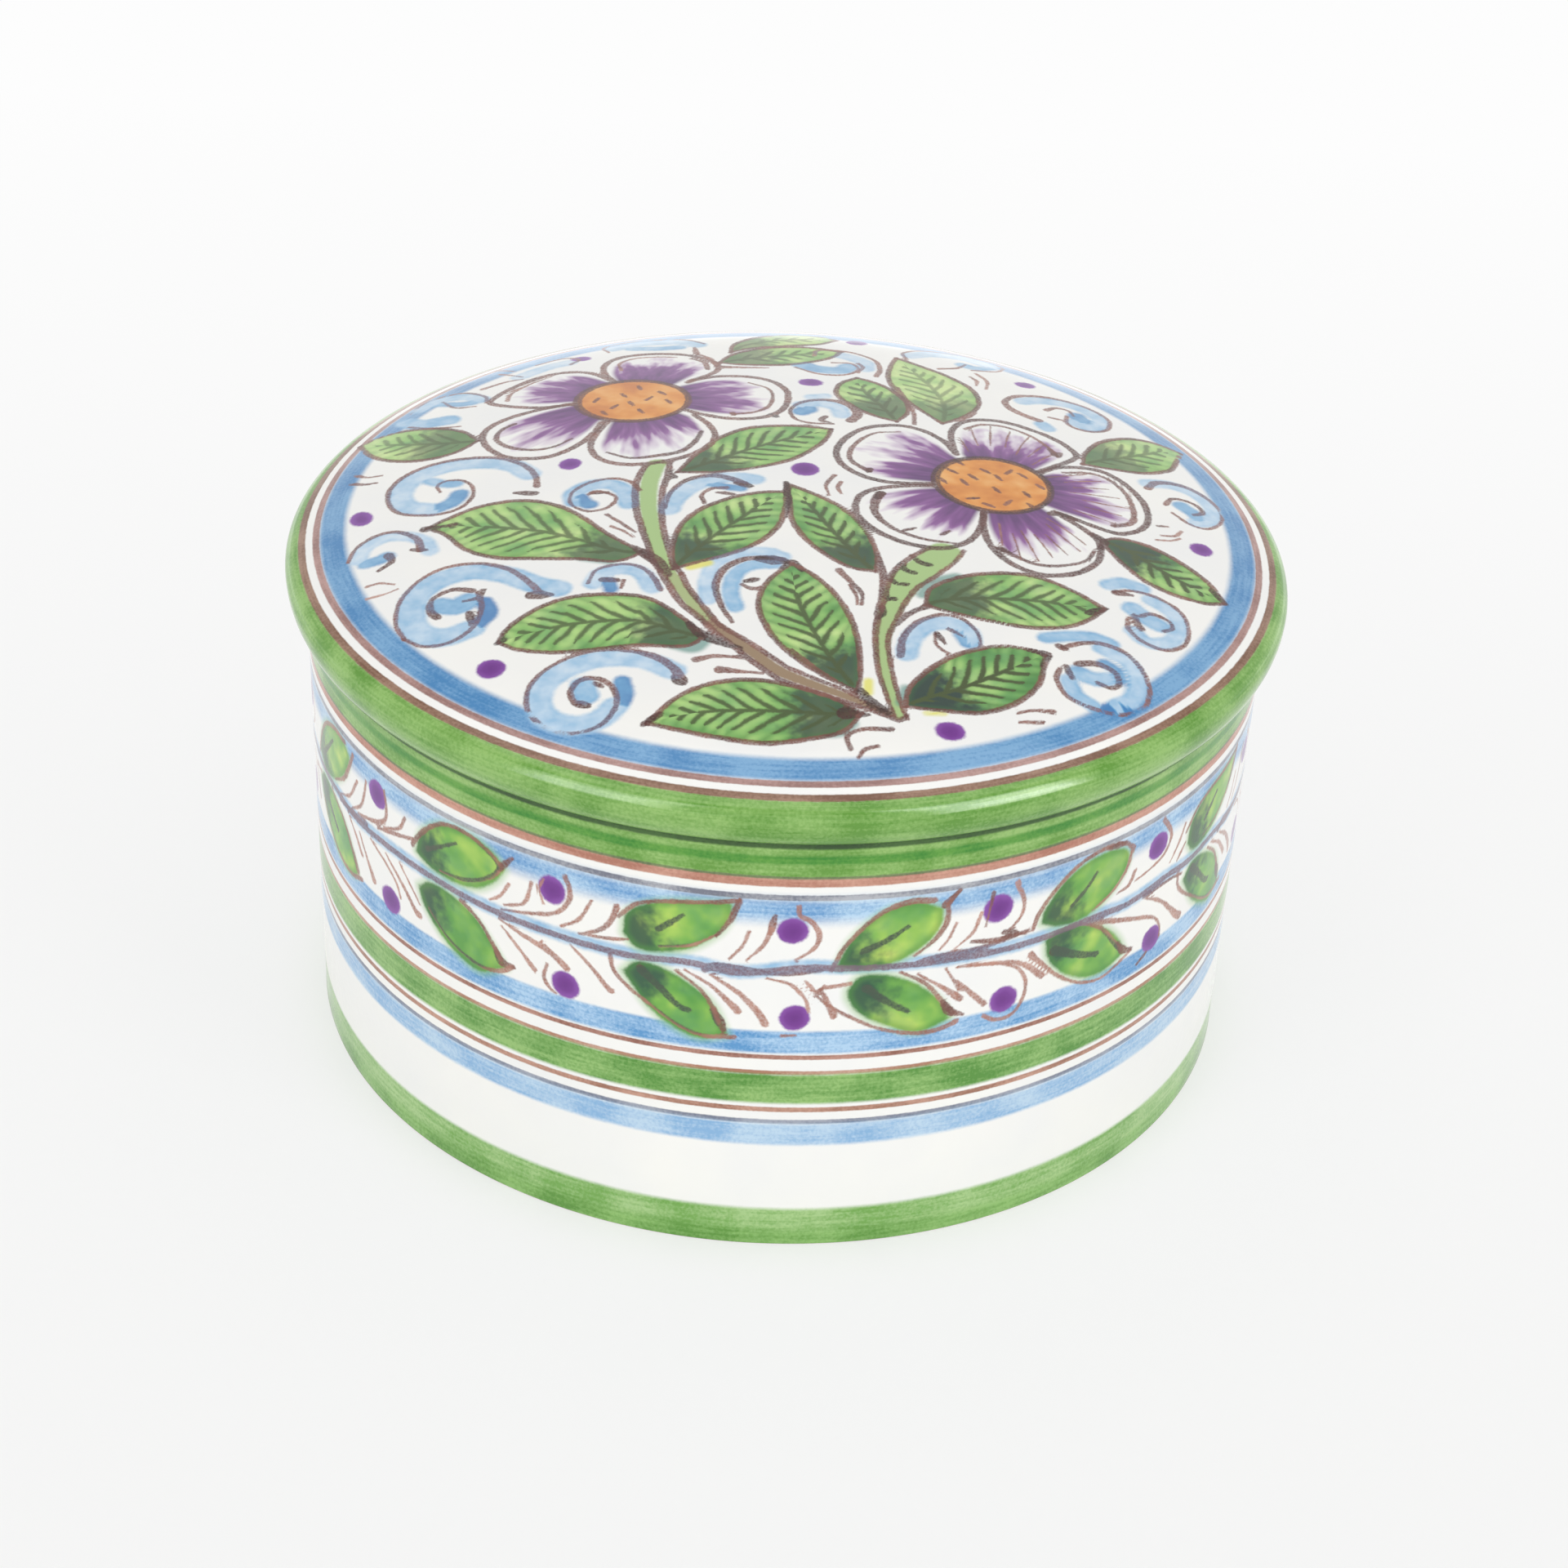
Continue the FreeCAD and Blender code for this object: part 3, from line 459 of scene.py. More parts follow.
    (pairs(39.6, -16.8, 42, -16, 45, -16.8, 47.5, -19.2, 48.3, -22.6, 47.6, -26, 45.2, -27.9, 42.6, -27,
           40.9, -24.6, 41, -22.2), (0.6, 0.6, 0.7), 0.3),
    (pairs(39.8, -16.9, 41.6, -17), (1.3, 1.1, 0.5), 0.52),
    (pairs(41.8, -21.4, 42, -23, 42.5, -24.4), (0.8, 1.0, 0.9), 0.52),
    (pairs(42.6, -21.4, 44, -20.6, 45.9, -21.6, 46.3, -23.2, 45.2, -24), (0.9, 0.5, 0.6), 0.42),
    (pairs(32.8, -30.5, 34.4, -29.4, 37, -28.6, 40, -29.7, 42, -32.6, 42.8, -36, 42, -39.4, 39.4, -41.4,
           36, -41.4, 33, -40, 31.8, -37, 32.3, -34.8), (0.9, 0.6, 0.7), 0.34),
    (pairs(32.2, -30.2, 33.2, -30.8), (1.0, 1.2, 0.8), 0.5),
    (pairs(33, -34.2, 33.7, -36.4), (0.9, 1.0, 0.7), 0.58),
    (pairs(34.5, -33.4, 36.6, -32.9, 38.7, -34, 39.2, -36, 38.2, -37.2, 36.6, -36.6), (1.3, 0.8, 0.7), 0.52),
    (pairs(45.6, 11.8, 46.8, 13.8, 50, 14.3, 53, 12.4, 54.8, 9, 54.4, 5.4, 52.6, 3, 50.4, 3.3, 48.4, 5.6),
     (1.2, 0.6, 0.5), 0.3),
    (pairs(47.6, 7.8, 48.6, 9.8, 51, 9.6, 52.4, 7.6, 51.2, 6.2), (0.8, 0.6, 0.8), 0.42),
    (pairs(32.3, 28.8, 30.4, 30, 28.5, 32, 28, 34.4, 29.6, 36.8, 33, 37.8, 37, 37.2, 40, 35.3, 41.8, 32.4,
           41.4, 29, 39.4, 27.4, 37, 27.8, 36, 29.4, 36.1, 31.6), (1.2, 0.7, 0.6), 0.3),
    (pairs(33.5, 33, 34.8, 34.2, 36.4, 33.8, 37, 32.2), (1.0, 0.6, 0.4), 0.34),
    (pairs(33.8, 30.4, 35.4, 30), (0.5, 0.6, 0.4), 0.3),
    (pairs(2.4, 46.4, 3, 48.8, 7, 48.8, 10.5, 46, 11.3, 42, 10.8, 39.4), (0.7, 0.5, 0.9), 0.26),
    (pairs(0, 41, 3, 38.9, 6.4, 39, 8.4, 41.4, 7.4, 43.8, 5, 43.8), (0.5, 0.5, 0.5), 0.26),
    (pairs(8.4, 44, 9, 42.6, 8.4, 40.4), (0.6, 0.6, 0.4), 0.26),
    (pairs(7.4, 22.6, 8.3, 25, 7, 28, 4, 29.2, 1, 28, -0.5, 25.2, 0.1, 22.4, 2, 21.1, 5, 21.2),
     (1.5, 0.7, 0.5), 0.4),
    (pairs(4.1, 23.4, 3.5, 22.2, 4.6, 21.6), (0.9, 0.8, 0.5), 0.5),
    (pairs(-50, 22, -47, 20.6, -43.4, 20.6), (0.5, 0.5, 0.4), 0.3),
    (pairs(-50.6, 27.4, -48.6, 31.6, -44.4, 33, -41, 30.6, -40.6, 28.4), (0.5, 0.6, 0.5), 0.3),
    (pairs(-46.6, 30.4, -44.6, 27.2, -42, 27.2), (0.4, 0.5, 0.4), 0.3),
    (pairs(-41.6, 33.6, -38.6, 35.8, -36.6, 36.4), (0.8, 0.6, 0.4), 0.3),
    (pairs(-40, 40, -37.4, 38, -36.6, 37.4), (0.6, 0.5, 0.4), 0.26),
    (pairs(-40.6, 42.6, -38, 40.6), (0.5, 0.5, 0.4), 0.26),
    (pairs(-35, 42.6, -31.6, 44.8, -29.4, 43.6, -30.4, 41.8), (0.4, 0.5, 0.6), 0.3),
    (pairs(-25.6, 46.6, -26.4, 49.4, -22.8, 52.4, -16, 52.6, -12.8, 50.2), (0.4, 0.6, 0.5), 0.26),
    (pairs(-13.6, 45.6, -14, 48.2), (1.0, 0.8, 0.5), 0.3),
    (pairs(15, 47.6, 14.6, 50.4, 18, 53, 24, 52.8, 28, 49.6, 27.4, 46.4, 24, 45.4), (0.5, 0.6, 0.5), 0.22),
    (pairs(19.4, 44.6, 21.8, 45.6, 23, 47.6), (0.6, 0.6, 0.5), 0.26),
    # short strokes, in pairs, that fill the ground
    (pairs(-55.2, 8.4, -53.6, 7.2, -52, 7.2), (0.8, 0.5, 0.4), 0.3),
    (pairs(-55.4, 6, -53.8, 5.2, -52.4, 5.2), (1.0, 0.6, 0.4), 0.42),
    (pairs(-50.2, -20.8, -48.8, -20.4, -47.2, -20.9), (0.5, 0.4, 0.3), 0.1),
    (pairs(-49.8, -23.4, -48, -23, -46.6, -22.2), (0.5, 0.4, 0.3), 0.1),
    (pairs(-22.4, -6.4, -20.8, -8.2, -18.8, -10.6), (0.6, 0.5, 0.4), 0.4),
    (pairs(-21.6, -9.4, -20.2, -10.4, -19, -11.8), (0.5, 0.4, 0.3), 0.24),
    (pairs(4.8, 0.2, 4.4, 2.8, 5.4, 5.6), (0.3, 0.6, 0.7), 0.32),
    (pairs(6.3, 0.8, 5.9, 2.2, 6.2, 3.8), (0.4, 0.6, 0.6), 0.26),
    (pairs(6.2, -18.2, 7.6, -20.6, 9, -23, 9, -25.4), (1.0, 0.7, 0.5), 0.44),
    (pairs(7.6, -21.4, 8.4, -23.8, 8.5, -25.4), (0.6, 0.5, 0.4), 0.34),
    (pairs(-10.1, -38.2, -8, -37.4, -5.4, -37.5, -3.2, -38), (1.1, 0.6, 0.4), 0.3),
    (pairs(-7.2, -40, -5, -40.2, -2.4, -40.4), (1.4, 0.6, 0.4), 0.34),
    (pairs(8, -53, 7.6, -51, 9.4, -49.6, 12.6, -49.3), (0.6, 0.6, 0.9), 0.42),
    (pairs(9, -54.2, 9.6, -53, 11, -52.3), (0.5, 0.6, 0.6), 0.4),
    (pairs(27.2, -44.2, 28.8, -43.4, 31.2, -43.2), (0.4, 0.5, 1.0), 0.32),
    (pairs(27.4, -45.7, 29, -45.4, 30, -45.2), (0.5, 0.6, 0.8), 0.3),
    (pairs(24.4, 44, 25.8, 41.4, 25.6, 38.4), (0.5, 0.6, 0.5), 0.16),
    (pairs(23.6, 42.4, 24.4, 41, 24.3, 39.4), (0.5, 0.6, 0.4), 0.16),
    (pairs(46.6, -1, 48.2, -0.6, 49, 0.8), (0.4, 0.5, 0.5), 0.2),
    (pairs(45.8, -2.4, 47.6, -2, 48.6, -1.2), (0.4, 0.4, 0.4), 0.12),
    (pairs(46.2, 1.4, 47.2, 1.6), (0.5, 0.6, 0.4), 0.4),
]

# Short dabs on the flowers' middles: place and lean in degrees.
LID_TICKS = [
    (-26, 27.7, 70), (-22.5, 29.2, -60), (-20.6, 32, -70), (-17.5, 30, -50), (-16.5, 27, -60),
     (-19.1, 28.1, 60),
    (-21.4, 26.4, -65), (-23.5, 25.3, 60), (-24.7, 23.2, -60), (-20, 23.8, -60), (21.3, 12.2, -50),
     (24.6, 10.4, -40),
    (27.6, 10.9, 60), (23, 8.3, -50), (21.8, 6.6, -60), (26.2, 8.9, -60), (29.4, 10.2, -50), (25.9, 5.3, -60),
    (22.8, 2.3, 20), (27.2, 2.1, 60), (29.7, 5, -60), (30.2, 1.9, -50), (19.2, 6.4, -60), (31.6, 7.6, -50),
    (24.8, 0.9, -30), (20.4, 9.4, -40),
]

# Violet berries on the ground: place, width, height, lean.
LID_BERRIES = [
    (-53, -4.3, 2.9, 3.8, 15), (-33.6, -39.6, 3.5, 3.5, 20), (-28, 7.5, 2.9, 3.3, -20),
     (1.7, 6.9, 3.6, 3.8, 0),
    (19.3, -48.7, 3.6, 3.1, -10), (51.3, -3, 2.9, 3.2, 10), (31, 41.8, 2.9, 2.4, -10), (2, 35.4, 3.4, 2.7, 0),
    (8.2, 53.8, 3.0, 2.6, 0), (-29.2, 44, 2.8, 2.2, 0),
]

# Yellow touches, and blue-green run of colour past a leaf's base: points, width.
LID_YELLOWS = [(pairs(-11.6, -18.8, -9.6, -17.8), 1.5), (pairs(9.9, -40.8, 9.9, -43), 1.2),
               (pairs(16.6, -45.9, 18.6, -45.7), 0.8)]
LID_TEALS = [(pairs(16.2, -22.4, 17.6, -19.4, 20.4, -17.6), 1.6), (pairs(13.7, -44.4, 14.2, -41.6), 1.3),
             (pairs(-12.4, -35, -10.6, -35.6, -9.8, -34.6), 2.6), (pairs(3.4, -50.6, 6.6, -50.4, 8, -48.8),
              1.8),
             (pairs(-24.6, -16.6, -21.4, -17.4), 1.8)]

# The wall's garland, in five sprays: u runs to the right from the front and z up, in mm. Each spray
# has its left end, its leaves, its berries and its lines.
SPRAYS = {
    "a": (-47.5, [
        ((-47.2, 43.4), pairs(-46.2, 46.4, -43.6, 48.9, -40.6, 50, -36.8, 50, -34, 48.8), (-32.6, 47.4),
         pairs(-44.6, 42.4, -40.6, 42.2, -36.8, 43, -34, 45.2), 0.45),
        ((-46.9, 38.6), pairs(-44.6, 40.2, -41, 40.2, -37.4, 38.8, -34.6, 36), (-32.6, 33.4),
         pairs(-45.8, 36.2, -43, 33.5, -39.8, 31.8, -36.4, 31.2), 0.4),
    ], [(-26.2, 46.9, 3.6, 3.9, 10), (-24.4, 34, 3.6, 3.9, 40)], [
        (pairs(-47.8, 44, -46.5, 46, -44, 48.5, -41.4, 49.9, -38, 50, -34.8, 48.8, -33.2, 47.4),
         (0.9, 0.7, 0.8), 0.5),
        (pairs(-33.2, 47.8, -34, 46.2, -36.2, 44.5, -39, 43.3, -42.6, 42.8), (0.8, 0.7, 0.4), 0.4),
        (pairs(-33.4, 47.2, -32.4, 48.4, -31.6, 49.2), (1.0, 1.1, 0.5), 0.66),
        (pairs(-45, 44.8, -43, 46, -40.2, 47.8), (0.8, 0.7, 0.5), 0.62),
        (pairs(-39.4, 40.1, -36.6, 38.5, -34.6, 36, -33.4, 34.4), (0.8, 0.6, 1.0), 0.45),
        (pairs(-34.2, 35.4, -33.3, 34, -31.6, 33.9), (0.9, 1.6, 0.5), 0.66),
        (pairs(-44.8, 36.2, -42, 33.8, -39, 32.5, -36, 32, -33.4, 32.6, -31.6, 33.9), (0.4, 0.5, 0.8), 0.42),
        (pairs(-34.8, 42.3, -33.3, 43.5, -32.2, 45.4), (0.4, 0.5, 0.6), 0.16),
        (pairs(-32.6, 42.4, -30.2, 43.5, -29.4, 45, -29, 46.8), (0.4, 0.6, 0.6), 0.26),
        (pairs(-33, 41.6, -29, 42.6, -25.6, 43.9, -24, 46, -23.9, 47.8, -24.5, 49.3), (0.4, 0.7, 0.9), 0.34),
        (pairs(-27.4, 44.8, -27.9, 46.4, -27.4, 47.8), (0.4, 0.4, 0.4), 0.2),
        (pairs(-24.8, 42.3, -22.6, 44, -21.2, 46.8), (0.4, 0.6, 0.5), 0.3),
        (pairs(-22.4, 42, -20, 43.2, -18.6, 45, -18, 47), (0.4, 0.8, 1.0), 0.42),
        (pairs(-22, 42, -19, 42.3, -16.8, 42.7), (0.4, 0.6, 0.5), 0.34),
        (pairs(-33.4, 40, -30, 39, -27, 38.2, -25.1, 37.1, -24.2, 36.4), (0.4, 0.9, 1.1), 0.24),
        (pairs(-33, 39, -30.6, 36.8, -28.5, 34.6), (0.4, 0.6, 0.9), 0.22),
        (pairs(-27.4, 39, -25.6, 37.4), (0.4, 0.6, 0.5), 0.24),
        (pairs(-23.6, 39.8, -21, 37.5, -19, 35.2, -18.5, 34.9), (0.4, 0.7, 0.9), 0.28),
        (pairs(-26.9, 36, -27.3, 34.2, -26.6, 32.9, -25.8, 32.4), (0.5, 0.7, 0.4), 0.3),
    ]),
    "b": (-17.5, [
        ((-17.2, 43.6), pairs(-16.8, 46.4, -14.4, 48.3, -11, 49.3, -7.4, 49.7), (-4.5, 49.9),
         pairs(-15.4, 41.8, -12, 42, -8.8, 43.2, -6, 45.5, -4.8, 47.6), 0.35),
        ((-17.2, 38.2), pairs(-15.6, 39.9, -13.2, 39.9, -10.6, 38.9, -8, 37.2, -6, 34.9), (-4.5, 31.2),
         pairs(-15.8, 36.2, -14, 33.8, -11.4, 31.8, -8, 30.4), 0.55),
    ], [(2.5, 46.5, 3.7, 3.6, 0), (3.2, 34.2, 3.7, 3.6, 60)], [
        (pairs(-17.7, 45.8, -15.6, 48, -12.4, 49, -8, 49.6, -3.8, 50.3), (0.6, 0.7, 0.8), 0.5),
        (pairs(-3.7, 50.3, -4.6, 47.6, -6.1, 45.3), (1.0, 0.9, 0.5), 0.52),
        (pairs(-6.2, 45.3, -9, 43.5, -12.6, 42.7), (0.4, 0.5, 0.4), 0.3),
        (pairs(-13, 45, -11.6, 46.2, -10.2, 47.4), (1.0, 0.9, 0.5), 0.8),
        (pairs(-18.7, 40, -18.3, 38, -16.4, 36, -13.4, 33.9, -10, 31.7, -7, 30.8, -3.8, 31), (0.7, 0.5, 0.7),
         0.38),
        (pairs(-10.6, 39.5, -8, 37.5, -6.3, 35, -5.7, 33), (0.5, 0.6, 0.9), 0.42),
        (pairs(-6.3, 34.6, -5.4, 33, -4.9, 31.9), (0.9, 1.6, 0.8), 0.72),
        (pairs(-15, 39, -12.6, 36.8, -10.3, 34.6, -9.2, 34.2), (1.4, 1.1, 0.9), 0.86),
        (pairs(-4.5, 42.3, -3.2, 44, -2.5, 46), (0.4, 0.5, 0.5), 0.26),
        (pairs(-2.5, 42.3, -0.8, 44.3, 0.1, 46.6), (0.4, 0.6, 0.8), 0.3),
        (pairs(0, 46.2, 0.2, 47.4, 0.4, 48.4), (0.8, 1.1, 0.6), 0.6),
        (pairs(3.2, 42.6, 5, 44, 5.6, 45.8, 4.8, 47.6, 3.3, 48.7, 3.1, 49.8), (0.4, 0.8, 0.7), 0.3),
        (pairs(-9.6, 39.8, -6.5, 38, -4.1, 35.6, -3.4, 34.8), (0.4, 0.7, 1.1), 0.26),
        (pairs(-6.5, 39.5, -3.5, 37.5, -1.1, 34.9, -0.2, 33.2), (0.4, 0.9, 1.2), 0.26),
        (pairs(0, 39.7, 2.5, 39, 4.3, 37, 4.8, 35.2), (0.4, 0.6, 0.5), 0.24),
        (pairs(2, 31.6, 3.2, 31.7), (0.5, 0.5, 0.3), 0.4),
        (pairs(4.4, 39.3, 5.6, 37.9, 6.4, 38.6), (0.4, 0.6, 0.7), 0.26),
        (pairs(6.1, 38.2, 7, 36.2, 7.8, 34.4), (0.6, 0.9, 1.1), 0.3),
        (pairs(6.6, 38.5, 9.4, 39), (0.5, 0.6, 0.6), 0.3),
        (pairs(-7.4, 40.4, -6, 41, -3, 40.8, 2, 40.5, 6, 41), (1.2, 1.0, 0.6), 0.6),
    ]),
    "c": (7.5, [
        ((7.8, 41.4), pairs(9, 44.6, 11.2, 47.4, 13.8, 49.2, 17, 49.7), (20, 48.4),
         pairs(11.6, 40.9, 15.4, 41.9, 18.4, 43.9, 19.9, 46.2), 0.35),
        ((9.2, 38), pairs(10.6, 39.9, 13.6, 39.9, 17, 38.4, 20, 35.8), (22, 32.4),
         pairs(9.4, 36.6, 11, 34.4, 14, 32.6, 18, 31.1), 0.5),
    ], [(27, 46.9, 3.9, 4.0, 0), (28.8, 33.4, 3.7, 3.8, 30)], [
        (pairs(7.2, 41, 8.4, 43.9, 10.6, 46.8, 13, 48.9, 16, 49.9, 18.8, 49.7), (0.6, 0.7, 1.1), 0.48),
        (pairs(21.7, 50.4, 20.6, 48.9, 20.6, 46.5, 19.3, 44.2, 17, 42.3), (0.6, 0.9, 0.4), 0.4),
        (pairs(20.2, 48.8, 21.8, 50.5), (1.3, 1.0, 0.6), 0.6),
        (pairs(10.6, 43.4, 13.5, 44.8, 15.8, 46.4), (1.0, 1.0, 0.6), 0.86),
        (pairs(15.5, 40, 18.5, 38, 20.8, 35, 22.2, 33), (0.5, 0.7, 0.9), 0.42),
        (pairs(20.8, 35, 21.8, 33.4, 23.4, 32.6), (0.9, 1.5, 0.5), 0.66),
        (pairs(5.6, 37.4, 7.3, 35.8, 10, 34, 13.5, 32.1, 17.4, 31, 20.5, 31, 22.8, 31.8), (0.5, 0.6, 0.9),
         0.38),
        (pairs(11.4, 38.2, 14, 36, 16.6, 34.3), (1.4, 1.1, 0.8), 0.86),
        (pairs(20, 42.7, 21, 44, 21.7, 45.8), (0.4, 0.5, 0.4), 0.22),
        (pairs(22, 42.5, 24, 44.3, 24.8, 46.6), (0.4, 0.6, 0.5), 0.24),
        (pairs(25.6, 45, 26.2, 49.2), (0.3, 0.4, 0.7), 0.5),
        (pairs(28.3, 43, 30.2, 45, 30.4, 47.3, 29.6, 49, 29.3, 50), (0.4, 0.6, 0.9), 0.3),
        (pairs(24, 42.9, 28, 42.3, 31.2, 42.6), (0.5, 1.1, 0.6), 0.62),
        (pairs(28, 43.3, 29.6, 42.8), (0.7, 1.2, 0.8), 0.66),
        (pairs(21, 39.5, 22, 37.8, 22.8, 36.4), (0.4, 0.6, 0.7), 0.26),
        (pairs(17.6, 39.4, 21, 36.8, 23, 35), (0.4, 0.6, 1.2), 0.26),
        (pairs(22.5, 37.5, 24.5, 35.3, 26.3, 33.4), (0.5, 0.8, 1.0), 0.26),
        (pairs(22.5, 39.6, 27, 39, 30, 37.8, 31.5, 35.8, 31.7, 33.5, 30.8, 31.4, 29.4, 30.6, 27.6, 30.8,
               26.4, 31.6), (0.4, 0.6, 0.7), 0.28),
        (pairs(24, 39.6, 30, 38.4, 33.4, 35.8, 34, 35.2), (0.4, 0.8, 1.1), 0.26),
        (pairs(17, 41.1, 20, 41.7, 25, 41.7, 29, 42.4, 31, 42.3), (0.7, 0.9, 0.5), 0.56),
    ]),
    "d": (33.0, [
        ((33.1, 43), pairs(33.6, 45, 35.6, 47.6, 38.6, 49.4, 42, 49.9, 45, 49.3), (46.3, 48),
         pairs(36, 41.7, 40, 41.7, 43.4, 43.3, 45.7, 45.8), 0.45),
        ((34, 40.4), pairs(36.6, 41.3, 40, 40.5, 43.5, 38.5, 46, 35.9), (47.4, 33.4),
         pairs(34.4, 38, 35.8, 35.8, 38.2, 33.7, 41.2, 32.3, 44.4, 32.2), 0.5),
    ], [(51.8, 46.7, 3.8, 3.7, 0), (52.7, 32.8, 3.8, 3.6, -30)], [
        (pairs(32, 42.5, 32.8, 44.8, 35, 47.5, 38, 49.7, 41.5, 50.5, 45, 50.1, 46.9, 48.6), (0.8, 0.7, 0.8),
         0.44),
        (pairs(42.6, 50.3, 45.2, 50), (0.7, 1.2, 0.8), 0.6),
        (pairs(46.6, 48.3, 46, 46, 44, 43.7, 41, 42.2), (0.7, 0.6, 0.4), 0.3),
        (pairs(37.4, 44, 39.5, 45.8, 40.8, 47.4), (0.8, 0.7, 0.5), 0.6),
        (pairs(39, 41, 42.5, 39, 45, 36, 46.6, 34), (0.5, 0.7, 0.9), 0.44),
        (pairs(45.8, 35.2, 47.3, 33.6, 48.7, 33.2), (0.9, 1.5, 0.6), 0.66),
        (pairs(32.2, 38.9, 34, 36.8, 36.5, 34.3, 40, 32, 43.5, 31.2, 46, 31.9, 48.5, 33), (0.8, 0.5, 0.6),
         0.34),
        (pairs(35.4, 38.4, 39, 36.5, 42.4, 35.2), (1.6, 1.2, 1.0), 0.86),
        (pairs(45, 43, 46.8, 43.4, 47.6, 45), (0.4, 0.7, 0.8), 0.34),
        (pairs(48, 43.5, 51, 44, 53.5, 45, 54.4, 47, 53.3, 49, 52.3, 50.2), (0.4, 0.6, 0.9), 0.34),
        (pairs(55, 43, 56.5, 45, 57.5, 47), (0.4, 0.6, 0.6), 0.26),
        (pairs(56.6, 42.4, 58, 44), (0.4, 0.7, 0.5), 0.3),
        (pairs(32.1, 38.9, 33.4, 37.4), (1.2, 0.9, 0.5), 0.4),
        (pairs(39.4, 41, 44, 39.3, 49, 37.5, 52.5, 36, 54.2, 34, 54.4, 32.4), (0.9, 0.8, 0.4), 0.36),
        (pairs(50, 40, 54, 37.6, 57.4, 34.2, 59, 32.9), (0.4, 0.7, 1.3), 0.3),
        (pairs(50.4, 30.2, 51.8, 31), (0.5, 0.8, 0.6), 0.6),
        (pairs(50, 40.3, 55, 40.2, 58, 39.6), (0.8, 0.7, 0.5), 0.56),
    ]),
    "e": (-75.0, [
        ((-75, 42.4), pairs(-74, 45, -71.2, 48.4, -67.4, 50, -64, 49.8), (-62.2, 48.6),
         pairs(-72, 41.3, -68, 42.2, -65, 44.2, -63, 46.6), 0.4),
        ((-75.4, 38.4), pairs(-73, 40, -68.2, 39.5, -64.4, 37.5, -62, 34.4), (-61, 32.2),
         pairs(-74.4, 36.4, -72, 34, -68, 31.6, -64, 31), 0.45),
    ], [(-55, 47.4, 4.0, 3.8, 0), (-52.7, 33.4, 4.0, 3.7, 0)], [
        (pairs(-75.4, 42, -73.8, 45.2, -71, 48.5, -67.2, 50, -63.6, 50), (0.6, 0.7, 0.9), 0.44),
        (pairs(-61.2, 49.5, -62.4, 47.2, -64.4, 44.4, -67.6, 42.4), (0.8, 0.9, 0.4), 0.42),
        (pairs(-72.6, 43.4, -70.4, 45.4, -68.2, 47.6), (1.0, 0.8, 0.5), 0.66),
        (pairs(-69.4, 40, -65.4, 38.2, -62.6, 35.2, -61, 32.8), (0.5, 0.7, 1.2), 0.45),
        (pairs(-74, 36, -71, 33.4, -67, 31.6, -63.4, 31.2, -60, 32.2), (0.4, 0.6, 0.9), 0.42),
        (pairs(-73.4, 38.4, -70.6, 37, -67.6, 35), (1.4, 1.1, 0.9), 0.84),
        (pairs(-65.6, 41.5, -62.6, 43, -60.3, 46.2), (0.4, 0.6, 0.6), 0.3),
        (pairs(-62, 41.5, -59.5, 43.2, -58.4, 45.4, -57.8, 47.6), (0.4, 0.7, 0.6), 0.34),
        (pairs(-60, 41.8, -56, 43, -53.6, 44.4, -53, 46.4, -53.4, 48.6), (0.5, 0.8, 0.6), 0.36),
        (pairs(-53.4, 43.4, -50.4, 45, -49.2, 47), (0.4, 0.7, 0.7), 0.34),
        (pairs(-55, 42.6, -51, 43.8, -47.8, 44.8), (0.6, 0.7, 0.6), 0.4),
        (pairs(-63.4, 40, -61.2, 38, -59.6, 36), (0.4, 0.6, 0.8), 0.26),
        (pairs(-60, 38.9, -58, 36, -56.6, 34), (0.4, 0.7, 1.3), 0.28),
        (pairs(-57, 39.8, -53.5, 38.2, -51.4, 36.6, -50.6, 35), (0.4, 0.6, 0.5), 0.26),
        (pairs(-53.4, 39.6, -50, 37, -47.6, 34.6, -46.8, 34.3), (0.4, 0.7, 1.2), 0.28),
        (pairs(-50.4, 39.8, -48, 37.4, -46.8, 36), (0.4, 0.5, 0.4), 0.24),
        (pairs(-66, 40.4, -62, 40.9, -58, 41.3), (0.6, 1.2, 0.6), 0.56),
    ]),
}

# Which spray stands where round the wall, by its left end: the five of the front, then the rest,
# which the painter drew from the same few, one after another.
GARLAND = [("e", -75.0), ("a", -47.5), ("b", -17.5), ("c", 7.5), ("d", 33.0), ("b", 58.4), ("c", 84.6),
           ("e", 111.4), ("b", 139.2), ("d", 165.4), ("c", 192.0), ("a", 218.6), ("d", 248.8), ("b", 275.0)]

WALL_RADIUS = 60.0
GIRTH = 2 * math.pi * WALL_RADIUS


def paint_hairlines(paint):
    """Hairlines from the violet towards the edge, in three petals of the right flower."""
    hand = np.random.default_rng(3)
    margin, count, shake = 0.22, 7, 0.12
    middle, _, petals = FLOWERS[1]
    middle = np.array(middle)
    for _, points in petals[:3]:
        rim = drawn(points) - middle
        turns = np.unwrap(np.arctan2(rim[:, 1], rim[:, 0]))
        order = turns.argsort()
        for turn in np.linspace(turns.min() + margin, turns.max() - margin, count):
            far = np.interp(turn, turns[order], np.hypot(*rim.T)[order])
            way = np.array([math.cos(turn), math.sin(turn)])
            start, end = hand.uniform(0.52, 0.62), hand.uniform(0.8, 0.9)
            ray = middle + np.outer([start, (start + end) / 2, end], way * far)
            ray += hand.uniform(-shake, shake, (3, 2))
            paint.stroke("line", ray, (0.2, 0.3, 0.2), 0.3)


